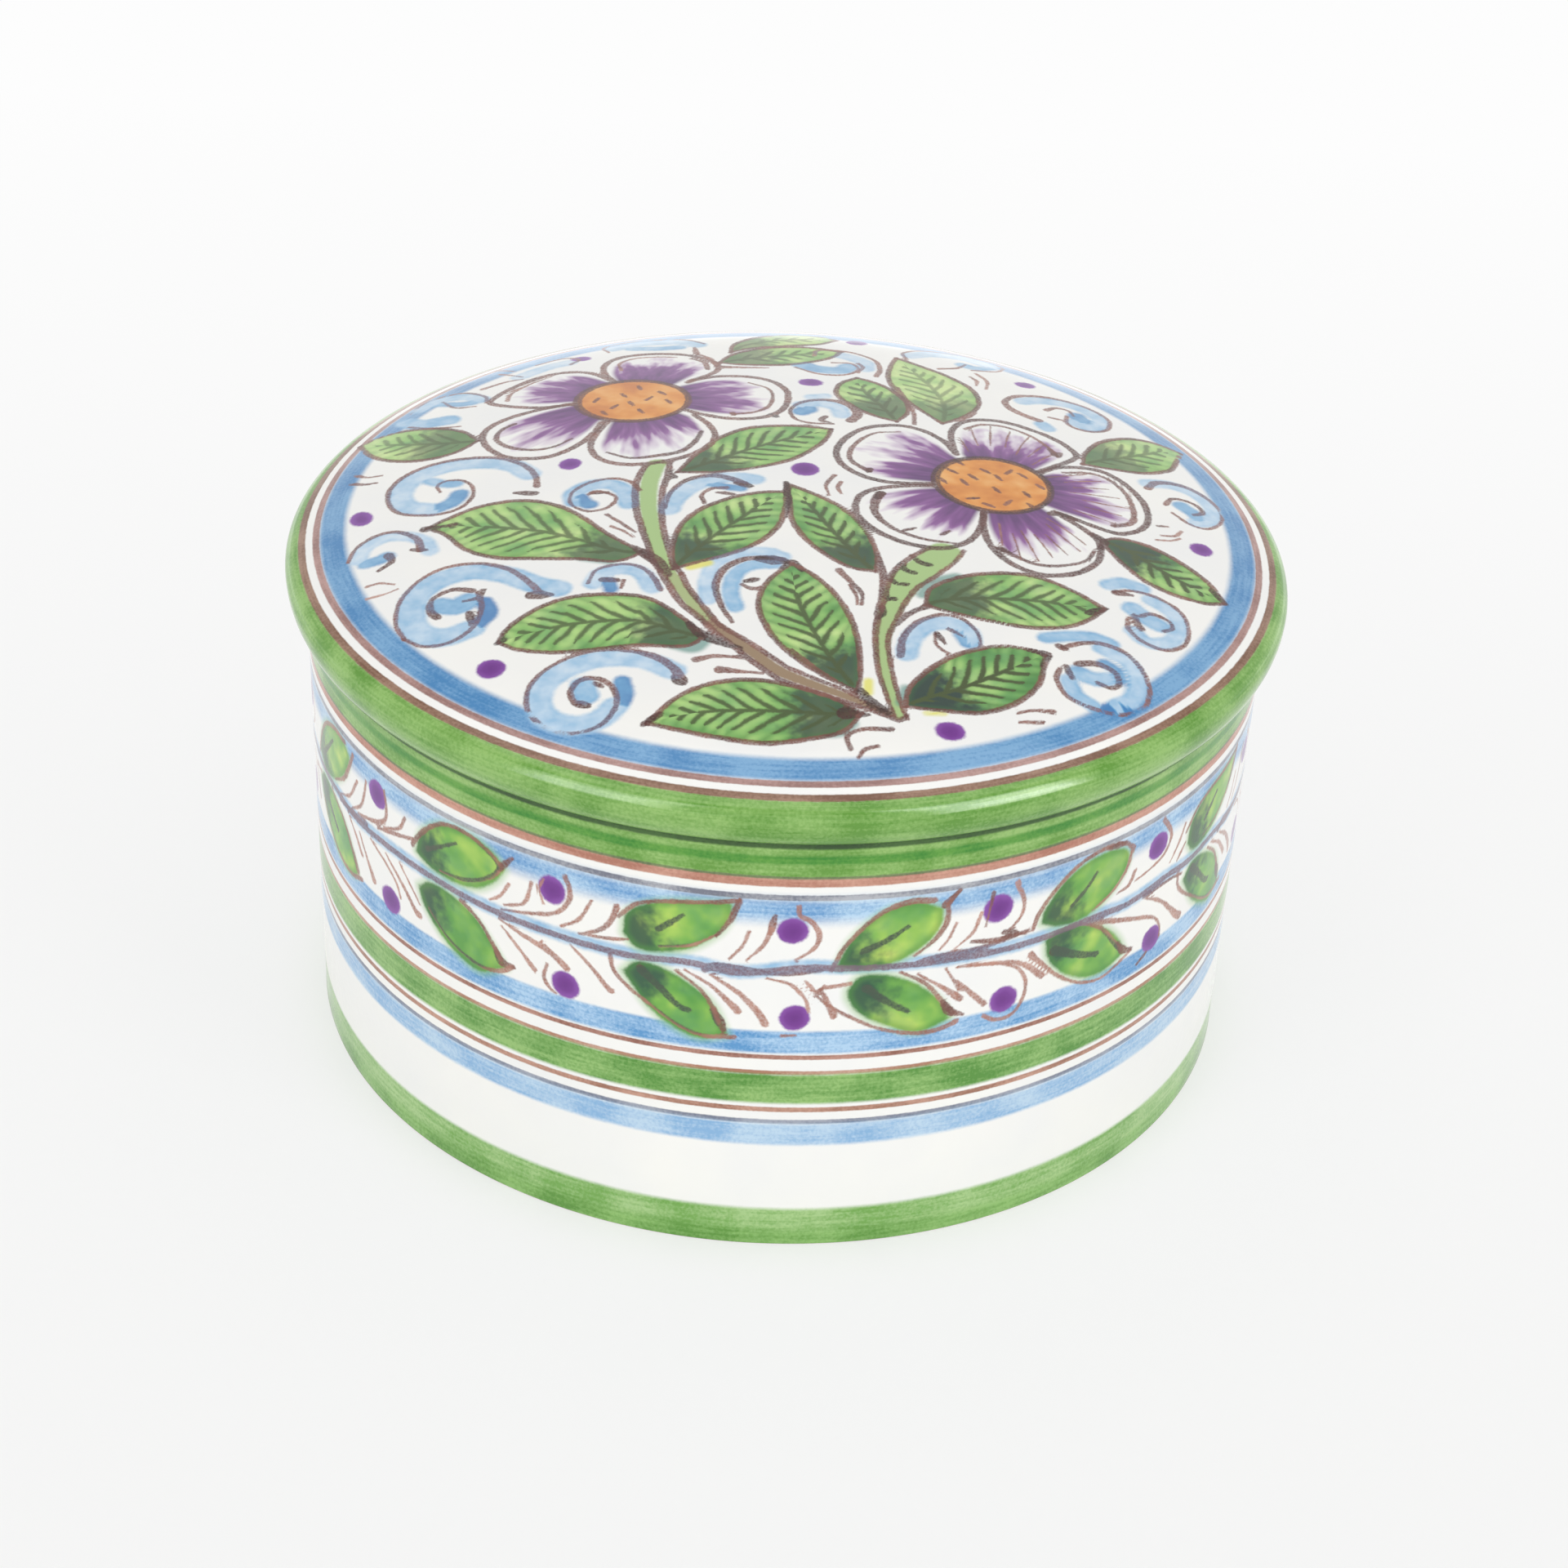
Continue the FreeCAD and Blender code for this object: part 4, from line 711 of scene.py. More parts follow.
def paint_lid(at):
    """The two flowers, their leafy stems and the blue volutes round them."""
    paint = Painting(at)
    for base, left, tip, right, tone in LID_LEAVES:
        paint.leaf(base, left, tip, right, tone)
        for edge in (left, right):
            ends = np.array([base, tip], float)
            paint.stroke("line", np.concatenate([ends[:1], edge, ends[1:]]), (0.6, 0.85, 0.7), 0.44)
    for middle, across, petals in FLOWERS:
        # the right flower is drawn darker than the left one
        dark = 0.44 if middle[0] < 0 else 0.6
        for lean, points in petals:
            paint.petal(middle, points, lean)
            paint.stroke("line", points, (0.9, 0.95, 0.9), dark)
        ring = np.array([(middle[0] + across[0] / 2 * math.cos(a), middle[1] + across[1] / 2 * math.sin(a))
                         for a in np.linspace(0, 2 * math.pi, 25)])
        paint.stroke("line", ring, (0.9, 1.2, 0.9), dark + 0.12)
        paint.dab("stem", 2, middle, *across)
    paint_hairlines(paint)
    for layer, strokes in (("stem", LID_STEMS), ("wash", LID_WASHES), ("line", LID_LINES)):
        for points, width, tone in strokes:
            paint.stroke(layer, points, width, tone)
    for x, y, lean in LID_TICKS:
        way = np.array([math.cos(math.radians(lean)), math.sin(math.radians(lean))])
        paint.stroke("line", (x, y) + np.outer((-0.6, 0, 0.6), way), (0.5, 0.7, 0.4), 0.42)
    for x, y, width, height, lean in LID_BERRIES:
        paint.dab("spot", 0, (x, y), width, height, lean)
    for column, touches in ((1, LID_YELLOWS), (2, LID_TEALS)):
        for points, width in touches:
            touch = Painting(at)
            touch.stroke("wash", points, width, 1.0)
            field = paint.layers["spot"]
            field[:, column] = np.minimum(field[:, column], touch.layers["wash"][:, 0])
    return paint


def paint_wall(at):
    """The garland of leaves and berries between the blue bands."""
    paint = Painting(at, GIRTH)
    stem = []
    for number, (name, left_end) in enumerate(GARLAND):
        start, leaves, berries, lines = SPRAYS[name]
        shift = np.array([left_end - start, 0.0])
        for base, left, tip, right, tone in leaves:
            paint.leaf(base + shift, left + shift, tip + shift, right + shift, tone)
        for x, z, width, height, lean in berries:
            paint.dab("spot", 0, (x + shift[0], z), width, height, lean)
        for points, width, tone in lines:
            paint.stroke("line", points + shift, tuple(0.85 * w for w in width), tone * 0.85)
        # the long stem sways a third of a millimetre up and down
        sway = 0.35 * math.sin(2.4 * number)
        stem += [(left_end + 1, 40.9 + sway), (left_end + 8, 41.0),
                 (left_end + 14, 40.6 + sway), (left_end + 21, 41.0 - sway)]
    stem = np.array(stem + [(stem[0][0] + GIRTH, stem[0][1])])
    paint.stroke("wash", stem + (0, 0.2), 1.9, 0.34)
    paint.stroke("line", stem, 0.9, 0.42)
    return paint


# The sizes that the CAD model gives them, in mm.
LID_WIDEST, LID_WIDEST_Z, ROLL = 62.6, 62.5, 2.2
CROWN, CROWN_TOP, CROWN_END = 360.0, 71.1, 50.1
SEAT, LID_EDGE, LID_THICK = 59.0, 61.3, 6.0
RING_OUT, RING_TIP_OUT, RING_BORE, RING_BOTTOM = 54.2, 53.7, 50.2, 53.5
RING_TIP_ROUND, RING_ROOT = 1.2, 3.0
FOOT, WALL, RIM, BORE = 59.4, 60.0, 60.5, 55.0
RECESS, RECESS_Z, FLOOR_Z, FLARE_Z = 52.4, 2.0, 7.0, 52.0
RIM_ROUND, MOUTH_ROUND, FLOOR_CORNER, FOOT_INNER_ROUND = 0.6, 1.2, 8.0, 0.9
# The foot's outer corner is crisper than the solid's 0.9 mm, as the photograph shows it.
FOOT_ROUND = 0.35
# Where the lid's edge turns under, where its top ends as a square grid, the middle of the foot.
LID_TURNS_UNDER = (61.24, 59.07)
DISC = 55.2
FOOT_MIDDLE = 55.9


def arc(middle, radius, first, last, steps):
    """Places on an arc, its angles in degrees from straight outwards, up positive."""
    return [(middle[0] + radius * math.cos(math.radians(a)), middle[1] + radius * math.sin(math.radians(a)))
            for a in np.linspace(first, last, steps + 1)]


def shoulder():
    """The circle that runs from the crown on into the rolled edge, and where it touches the roll."""
    drop = CROWN_TOP - CROWN
    end = np.array([CROWN_END, drop + math.sqrt(CROWN ** 2 - CROWN_END ** 2)])
    roll = np.array([LID_WIDEST - ROLL, LID_WIDEST_Z])
    normal = (end - (0, drop)) / CROWN
    gap = end - roll
    radius = (gap @ gap - ROLL ** 2) / (2 * (gap @ normal - ROLL))
    middle = end - radius * normal
    touch = roll + ROLL * (roll - middle) / np.hypot(*(roll - middle))
    return middle, radius, touch


def lid_top(r):
    """The height of the lid's crown and shoulder at a radius."""
    middle, radius, _ = shoulder()
    crown = CROWN_TOP - CROWN + np.sqrt(CROWN ** 2 - np.minimum(r, CROWN_END) ** 2)
    side = middle[1] + np.sqrt(radius ** 2 - np.maximum(r - middle[0], 0) ** 2)
    return np.where(r <= CROWN_END, crown, side)


def finish_piece(bm, name):
    """Turns the bmesh into an object in metres whose faces point outwards, smooth all over."""
    bmesh.ops.scale(bm, vec=(MM, MM, MM), verts=bm.verts)
    bmesh.ops.recalc_face_normals(bm, faces=bm.faces)
    mesh = bpy.data.meshes.new(name)
    bm.to_mesh(mesh)
    bm.free()
    mesh.polygons.foreach_set("use_smooth", np.ones(len(mesh.polygons), bool))
    piece = bpy.data.objects.new(name, mesh)
    bpy.context.scene.collection.objects.link(piece)
    return piece


def lid_rings():
    """The lid's half section past the crown: shoulder, rolled edge, seat, ring and underside."""
    _, _, touch = shoulder()
    roll = (LID_WIDEST - ROLL, LID_WIDEST_Z)
    start = math.degrees(math.atan2(touch[1] - roll[1], touch[0] - roll[0]))
    tuck = LID_WIDEST - LID_EDGE
    tuck_radius = ((LID_WIDEST_Z - SEAT) ** 2 + tuck ** 2) / (2 * tuck)
    rings = [(r, float(lid_top(r))) for r in (56.2, 57.2, 58.2, 59.0, 59.7, 60.4)]
    rings += arc(roll, ROLL, start, 0, 7)
    rings += arc((LID_WIDEST - tuck_radius, LID_WIDEST_Z), tuck_radius, 0, -36, 4)[1:]
    rings += [(61.36, 59.2), LID_TURNS_UNDER, (61.04, SEAT), (60.0, SEAT), (57.6, SEAT), (RING_OUT, SEAT)]
    # the locating ring, its tip rounded on both sides
    tip = RING_BOTTOM + RING_TIP_ROUND
    rings += [(RING_TIP_OUT + 0.1, tip)]
    rings += arc((RING_TIP_OUT - RING_TIP_ROUND, tip), RING_TIP_ROUND, -8, -90, 4)[1:]
    rings += arc((RING_BORE + RING_TIP_ROUND, tip), RING_TIP_ROUND, -90, -180, 4)
    # the root's round touches the ring's bore and the hollow underside
    under, low = CROWN - LID_THICK, CROWN_TOP - CROWN
    root = RING_BORE - RING_ROOT
    root_z = low + math.sqrt((under - RING_ROOT) ** 2 - root ** 2)
    rings += arc((root, root_z), RING_ROOT, 0, math.degrees(math.atan2(root_z - low, root)), 5)
    rings += [(r, low + math.sqrt(under ** 2 - r ** 2)) for r in (44, 34, 20, 8, 1, 0.1)]
    return rings


def grow(bm, edges, rings):
    """Draws an open edge on through rings of a half section, and closes it at the last one's middle."""
    for r, z in rings:
        grown = bmesh.ops.extrude_edge_only(bm, edges=edges)["geom"]
        for v in (g for g in grown if isinstance(g, bmesh.types.BMVert)):
            k = r / math.hypot(v.co.x, v.co.y)
            v.co = (v.co.x * k, v.co.y * k, z)
        edges = [g for g in grown if isinstance(g, bmesh.types.BMEdge) and g.is_boundary]
    last = {v for e in edges for v in e.verts}
    bmesh.ops.pointmerge(bm, verts=list(last), merge_co=(0, 0, rings[-1][1]))


def make_lid():
    """The lid: its top from a square grid drawn out to a disc, the rest grown ring by ring."""
    # each cell is half a millimetre wide, as fine as the painting needs
    cells = 234
    bm = bmesh.new()
    bmesh.ops.create_grid(bm, x_segments=cells, y_segments=cells, size=1.0)
    for v in bm.verts:
        a, b = v.co.x, v.co.y
        if abs(a) > abs(b):
            far, turn = a, math.pi / 4 * b / a
        else:
            far, turn = b, math.pi / 2 - (math.pi / 4 * a / b if b else 0)
        v.co = (DISC * far * math.cos(turn), DISC * far * math.sin(turn), float(lid_top(abs(DISC * far))))
    grow(bm, [e for e in bm.edges if e.is_boundary], lid_rings())
    return finish_piece(bm, "lid_thrown")


def box_section():
    """The box's half section, from near the middle of its underside round to that of its floor."""
    line = [(r, RECESS_Z) for r in (0.1, 12, 30, 46, 50.9)] + [(51.9, 1.7), (RECESS, 1.1)]
    line += arc((RECESS + FOOT_INNER_ROUND, FOOT_INNER_ROUND), FOOT_INNER_ROUND, 180, 270, 4)
    line += [(FOOT_MIDDLE, 0)] + arc((FOOT - 0.3, FOOT_ROUND), FOOT_ROUND, -90, 0, 4)
    # the wall, close set where the garland is
    low = [1.6, 2.6, 4, 5.4, 6.6, 8.5, 11, 13.5, 15.2, 16.6, 18, 19, 20, 21, 22.4, 24, 25.6, 27, 28.4]
    for z in low + list(np.arange(29.3, 52.2, 0.45)):
        line.append((FOOT + (WALL - FOOT) * z / FLARE_Z, z))
    flare = ((SEAT - FLARE_Z) ** 2 + (RIM - WALL) ** 2) / (2 * (RIM - WALL))
    for z in (53, 54.2, 55.4, 56.6, 57.6, 58.2):
        line.append((WALL + flare - math.sqrt(flare ** 2 - (z - FLARE_Z) ** 2), z))
    line += arc((RIM - 0.66, SEAT - RIM_ROUND), RIM_ROUND, 0, 90, 3)[1:] + [(58.2, SEAT)]
    line += arc((BORE + MOUTH_ROUND, SEAT - MOUTH_ROUND), MOUTH_ROUND, 90, 180, 4)
    line += [(BORE, z) for z in (52, 44, 36, 28, 20, 15.1)]
    line += arc((BORE - FLOOR_CORNER, FLOOR_Z + FLOOR_CORNER), FLOOR_CORNER, 0, -90, 7)[1:]
    line += [(r, FLOOR_Z) for r in (36, 20, 7, 0.1)]
    return line


def make_box():
    """The box, grown from a small ring in the middle of its underside."""
    section = box_section()
    bm = bmesh.new()
    ring = bmesh.ops.create_circle(bm, segments=820, radius=section[0][0])["verts"]
    bmesh.ops.translate(bm, vec=(0, 0, section[0][1]), verts=ring)
    grow(bm, list(bm.edges), section[1:])
    first = [v for v in bm.verts if v.is_boundary]
    bmesh.ops.pointmerge(bm, verts=first, merge_co=(0, 0, section[0][1]))
    return finish_piece(bm, "box_thrown")


class Surface:
    """A finished piece's places in mm, and where each lies on the half section that made it."""

    def __init__(self, piece, section):
        mesh = self.mesh = piece.data
        at = np.empty(len(mesh.vertices) * 3, np.float32)
        mesh.vertices.foreach_get("co", at)
        self.at = at.reshape(-1, 3).astype(float) / MM
        self.corner = np.empty(len(mesh.loops), np.int32)
        mesh.loops.foreach_get("vertex_index", self.corner)
        total = np.empty(len(mesh.polygons), np.int32)
        mesh.polygons.foreach_get("loop_total", total)
        self.face = np.repeat(np.arange(len(total)), total)
        self.r, self.z = np.hypot(self.at[:, 0], self.at[:, 1]), self.at[:, 2]
        self.turn = np.arctan2(self.at[:, 0], -self.at[:, 1])
        self.line = np.array(section)
        places = np.stack([self.r, self.z], 1)
        self.run = np.concatenate([along(part, self.line, np.zeros(len(self.line)))[1]
                                   for part in np.array_split(places, 50)])

    def reach(self, r, z):
        """How far along the section, in mm, the place nearest to (r, z) lies."""
        return along(np.array([[r, z]], float), self.line, np.zeros(len(self.line)))[1][0]

    def mean(self, values):
        """The mean of a value over each face's corners."""
        return np.bincount(self.face, values[self.corner]) / np.bincount(self.face)

    def finish(self, materials, faces, uv):
        """Gives each face its finish, and lays the piece out flat."""
        for material in materials:
            self.mesh.materials.append(material)
        self.mesh.polygons.foreach_set("material_index", faces.astype(np.int32))
        self.mesh.uv_layers.new(name="OFBake").data.foreach_set("uv", uv.astype(np.float32).ravel())


def on_disc(u, v, spread, turn):
    """Places on the flat map round a middle, the piece's front pointing down."""
    return np.stack([u + spread * np.sin(turn), v - spread * np.cos(turn)], 1)


def lay_out_lid(surface, materials):
    """The painted side lies flat as one disc that nearly fills the map, the underside in a corner."""
    edge, tip = surface.reach(*LID_TURNS_UNDER), surface.reach(52, RING_BOTTOM)
    end = surface.run.max()
    mid = surface.mean(surface.run)
    top = (mid < edge)[surface.face]
    run, turn = surface.run[surface.corner], surface.turn[surface.corner]
    spread = np.where(top, run / edge * 0.44, (end - run) / (end - edge) * 0.115)
    middle = np.where(top, 0.445, 0.884)
    # bare clay: the seat, and a band on the locating ring's tip
    bare = ((mid > edge) & (mid < surface.reach(RING_OUT, SEAT))) | (abs(mid - tip) < 1.3)
    finish = np.where(bare, 1, np.where(mid < edge, 0, 2))
    surface.finish(materials, finish, on_disc(middle, middle, spread, turn))


def lay_out_box(surface, materials):
    """The painted wall is cut in three strips, and the plain sides share the column beside them."""
    foot, rim = surface.reach(FOOT, 0.9), surface.reach(RIM, 58.4)
    mouth, floor = surface.reach(BORE, 57.8), surface.reach(BORE - FLOOR_CORNER, FLOOR_Z)
    end = surface.run.max()
    mid = surface.mean(surface.run)
    mid_turn = np.arctan2(surface.mean(np.sin(surface.turn)), surface.mean(np.cos(surface.turn)))
    run, turn = surface.run[surface.corner], surface.turn[surface.corner]
    # each corner's angle, next to its own face's so that none jumps a full turn
    at_face = mid_turn[surface.face]
    turn_near = at_face + (turn - at_face + math.pi) % (2 * math.pi) - math.pi
    third = 2 * math.pi / 3
    strip = np.floor((mid_turn + math.pi) / third).clip(0, 2)[surface.face]
    u = 0.365 + (turn_near + math.pi - (strip + 0.5) * third) / third * 0.70
    v = 0.008 + strip * 0.332 + (run - foot) / (rim - foot) * 0.315
    uv = np.stack([u, v], 1)
    inside = np.stack([0.74 + (run - rim) / (floor - rim) * 0.25,
                       0.01 + (turn_near + math.pi) / (2 * math.pi) * 0.42], 1)
    under = on_disc(0.867, 0.585, run / foot * 0.125, turn)
    bottom = on_disc(0.867, 0.86, (end - run) / (end - floor) * 0.125, turn)
    part = np.select([mid < foot, mid < rim, mid < floor], [0, 1, 2], 3)[surface.face]
    for number, flat in ((0, under), (2, inside), (3, bottom)):
        uv[part == number] = flat[part == number]
    # bare clay: the foot ring, and the seat inside the rim's round and the mouth's
    from_foot = mid - surface.reach(FOOT_MIDDLE, 0)
    bare = (from_foot > -3.2) & (from_foot < 3.45)
    bare |= (mid > rim + 0.6) & (mid < mouth - 1.5)
    painted = (mid > surface.reach(59.3, 0.07)) & (mid < rim + 0.6)
    surface.finish(materials, np.where(bare, 1, np.where(painted, 0, 2)), uv)


def colour(code):
    """An sRGB hex colour as the linear one that the nodes take."""
    srgb = [int(code[i:i + 2], 16) / 255 for i in (1, 3, 5)]
    return tuple(c / 12.92 if c <= 0.04045 else ((c + 0.055) / 1.055) ** 2.4 for c in srgb) + (1.0,)


def add(tree, kind, wires=(), stops=(), **settings):
    """Adds a node with its settings, its links or inputs, and for a ramp its evenly spaced colours."""
    node = tree.nodes.new("ShaderNode" + kind)
    for name, value in settings.items():
        setattr(node, name, value)
    for socket, value in dict(wires).items():
        if isinstance(value, bpy.types.NodeSocket):
            tree.links.new(value, node.inputs[socket])
        else:
            node.inputs[socket].default_value = value
    for number, code in enumerate(stops):
        stop = node.color_ramp.elements[number] if number < 2 else node.color_ramp.elements.new(1.0)
        stop.color = colour(code)
    for number in range(len(stops)):
        node.color_ramp.elements[number].position = number / (len(stops) - 1)
    return node


def new_material(name):
    """An empty material, its node tree, and the place on the piece in mm."""
    material = bpy.data.materials.new(name)
    material.use_nodes = True
    tree = material.node_tree
    tree.nodes.clear()
    place = add(tree, "TexCoord").outputs["Object"]
    place = add(tree, "VectorMath", {0: place, "Scale": 1 / MM}, operation="SCALE").outputs[0]
    return material, tree, place


def kept(tree, layer):
    """The three values that a painted layer keeps at each vertex."""
    source = add(tree, "Attribute", attribute_name=layer)
    return add(tree, "SeparateXYZ", {0: source.outputs["Vector"]}).outputs


def brushed(tree, under, pigment, distance, soft, load=1.0):
    """Lays a pigment over what is under it, wherever the distance in mm is below zero."""
    mask = add(tree, "MapRange", {0: distance, 1: -soft, 2: soft, 3: load, 4: 0.0},
               interpolation_type="SMOOTHSTEP")
    return add(tree, "Mix", {0: mask.outputs[0], 6: under, 7: pigment}, data_type="RGBA").outputs[2]


def mottle(tree, places, size, low, high, detail=2.0):
    """Values from low to high in soft patches of that size in the units of the places."""
    noise = add(tree, "TexNoise", {"Vector": places, "Scale": 1 / size, "Detail": detail})
    spread = add(tree, "MapRange", {0: noise.outputs[0], 1: 0.3, 2: 0.7, 3: low, 4: high})
    return spread.outputs[0]


def fired(tree, look, reliefs, **shine):
    """Ends a material: its colour, its skin from patches and their height in metres, its shine."""
    inputs = {"Base Color": look, "IOR": 1.5, **shine}
    skin = {}
    for patches, height in reliefs:
        bump = add(tree, "Bump", {"Height": patches, "Distance": height, "Strength": 1.0, **skin})
        skin = {"Normal": bump.outputs[0]}
    surface = add(tree, "BsdfPrincipled", {**inputs, **skin})
    add(tree, "OutputMaterial", {0: surface.outputs[0]})


# What lies round each piece: low and high edge in mm, pigment thin and full, softness of its edges.
# On the lid they are read by radius, on the wall by height. Three of the wall's are painted light: painted
# shade and a painted reflection, as marked.
LID_BANDS = [
    (55.1, 58.35, "#7BAAD2", "#4684BA", 0.55),
    (58.3, 59.15, "#B9958F", "#94706A", 0.1),
    (60.05, 61.05, "#A07F6B", "#77533F", 0.1),
    (60.95, 90.0, "#8FB967", "#5E9436", 0.12),
]
WALL_BANDS_AND_PAINTED_LIGHT = [
    (47.7, 50.95, "#B4D3EC", "#6699CC", 1.2),
    (50.7, 51.45, "#B2B4BB", "#767987", 0.1),
    (52.55, 53.85, "#CD9B88", "#AE7562", 0.12),
    (53.8, 90.0, "#95BE6D", "#62983A", 0.12),
    # painted reflection: a darker green strip below the joint, for the dark reflected between the two soft
    # highlights
    (55.7, 56.9, "#62A03C", "#338424", 0.3),
    # painted shadow: very dark green at the wall's top, for the shade in the joint under the lid's edge
    (57.9, 59.1, "#41662F", "#2C4A22", 0.2),
    (53.65, 54.0, "#7C8A5E", "#5C6B48", 0.12),
    (29.0, 32.2, "#B0D0EC", "#5A96CB", 0.3),
    (28.1, 28.75, "#BB8D7E", "#8F5F50", 0.1),
    (25.85, 26.45, "#C7A18F", "#A9785F", 0.1),
    (21.6, 25.9, "#92BC6E", "#538F36", 0.3),
    (20.35, 21.05, "#C39683", "#9A6C58", 0.1),
    (18.55, 19.2, "#9FA4B2", "#737A8D", 0.1),
    (15.4, 18.55, "#BCD5EA", "#86B1DA", 0.35),
    (-9.0, 5.6, "#A6C987", "#70A64C", 0.4),
    # darker green low on the foot: partly the glaze pooled thick there, partly painted shade down by the
    # table
    (-9.0, 2.4, "#8DBB6A", "#5C9439", 0.9),
]


def wheel_streaks(tree, place, flat, r, z):
    """Thin and thick colour, from 0 to 1, as the wheel turned: streaks 8 mm long and half a mm across."""
    outwards = add(tree, "VectorMath", {0: flat}, operation="NORMALIZE").outputs[0]
    outwards = add(tree, "VectorMath", {0: outwards, "Scale": WALL_RADIUS / 8}, operation="SCALE").outputs[0]
    level = add(tree, "Math", {0: r, 1: z}, operation="SUBTRACT").outputs[0]
    level = add(tree, "Math", {0: level, 1: 0.5}, operation="DIVIDE").outputs[0]
    level = add(tree, "CombineXYZ", {2: level}).outputs[0]
    wheel = add(tree, "VectorMath", {0: outwards, 1: level}, operation="ADD").outputs[0]
    streaks = mottle(tree, wheel, 1.0, 0.2, 0.8)
    specks = mottle(tree, place, 0.4, -0.3, 0.3, 3.0)
    streaks = add(tree, "Math", {0: streaks, 1: specks}, operation="ADD").outputs[0]
    pools = mottle(tree, place, 7.0, -0.4, 0.4, 1.0)
    return add(tree, "Math", {0: streaks, 1: pools}, operation="ADD", use_clamp=True).outputs[0]


def lay_bands(tree, look, bands, across, streaks, wander):
    """The bands that were laid on while the piece turned, and on the wall also bands of painted shade and a
    painted reflection.
    """
    wander = add(tree, "Math", {0: wander, 1: 0.4}, operation="MULTIPLY").outputs[0]
    for low, high, thin, full, soft in bands:
        below = add(tree, "Math", {0: low, 1: across}, operation="SUBTRACT").outputs[0]
        above = add(tree, "Math", {0: across, 1: high}, operation="SUBTRACT").outputs[0]
        gap = add(tree, "Math", {0: below, 1: above}, operation="MAXIMUM").outputs[0]
        gap = add(tree, "Math", {0: gap, 1: wander}, operation="ADD").outputs[0]
        pigment = add(tree, "ValToRGB", {0: streaks}, (thin, full)).outputs[0]
        look = brushed(tree, look, pigment, gap, soft)
    return look


def lay_washes(tree, look, wander, cloud):
    """Thin blue washes, darker where the brush let its last drop go and in a rim round them."""
    blues = ("#E0EAF2", "#BCD5EA", "#8AB9DC", "#5A99C9", "#3F7EB8")
    gap, tone, _ = kept(tree, "wash")
    rim = add(tree, "MapRange", {0: gap, 1: -0.7, 2: -0.1, 3: 0.0, 4: 0.1}).outputs[0]
    for darker in (cloud, rim):
        tone = add(tree, "Math", {0: tone, 1: darker}, operation="ADD").outputs[0]
    gap = add(tree, "Math", {0: gap, 1: wander}, operation="ADD").outputs[0]
    blue = add(tree, "ValToRGB", {0: tone}, blues).outputs[0]
    return brushed(tree, look, blue, gap, 0.42, 0.94), gap


def lay_petals(tree, look, place):
    """Violet runs out from each flower's middle in streaks that thin before the petal's edge."""
    share, slant, gap = kept(tree, "petal")
    rays = add(tree, "Math", {0: slant, 1: 6.5}, operation="MULTIPLY").outputs[0]
    longways = add(tree, "Math", {0: share, 1: 2.2}, operation="MULTIPLY").outputs[0]
    fan = add(tree, "CombineXYZ", {0: rays, 1: longways}).outputs[0]
    # no two petals share their streaks
    shift = add(tree, "VectorMath", {0: place, "Scale": 1 / 30}, operation="SCALE").outputs[0]
    fan = add(tree, "VectorMath", {0: fan, 1: shift}, operation="ADD").outputs[0]
    ray = mottle(tree, fan, 1.0, -0.26, 0.26)
    spread = add(tree, "Math", {0: share, 1: ray}, operation="SUBTRACT").outputs[0]
    violet = add(tree, "ValToRGB", {0: spread}, ("#57206A", "#7C4189", "#AC78B6", "#D9C3DF")).outputs[0]
    load = add(tree, "MapRange", {0: spread, 1: 0.42, 2: 0.74, 3: 0.97, 4: 0.0}).outputs[0]
    clear = add(tree, "MapRange", {0: share, 1: 0.0, 2: 0.45, 3: 0.35, 4: 1.5}).outputs[0]
    gap = add(tree, "Math", {0: gap, 1: clear}, operation="ADD").outputs[0]
    return brushed(tree, look, violet, gap, 0.5, load)


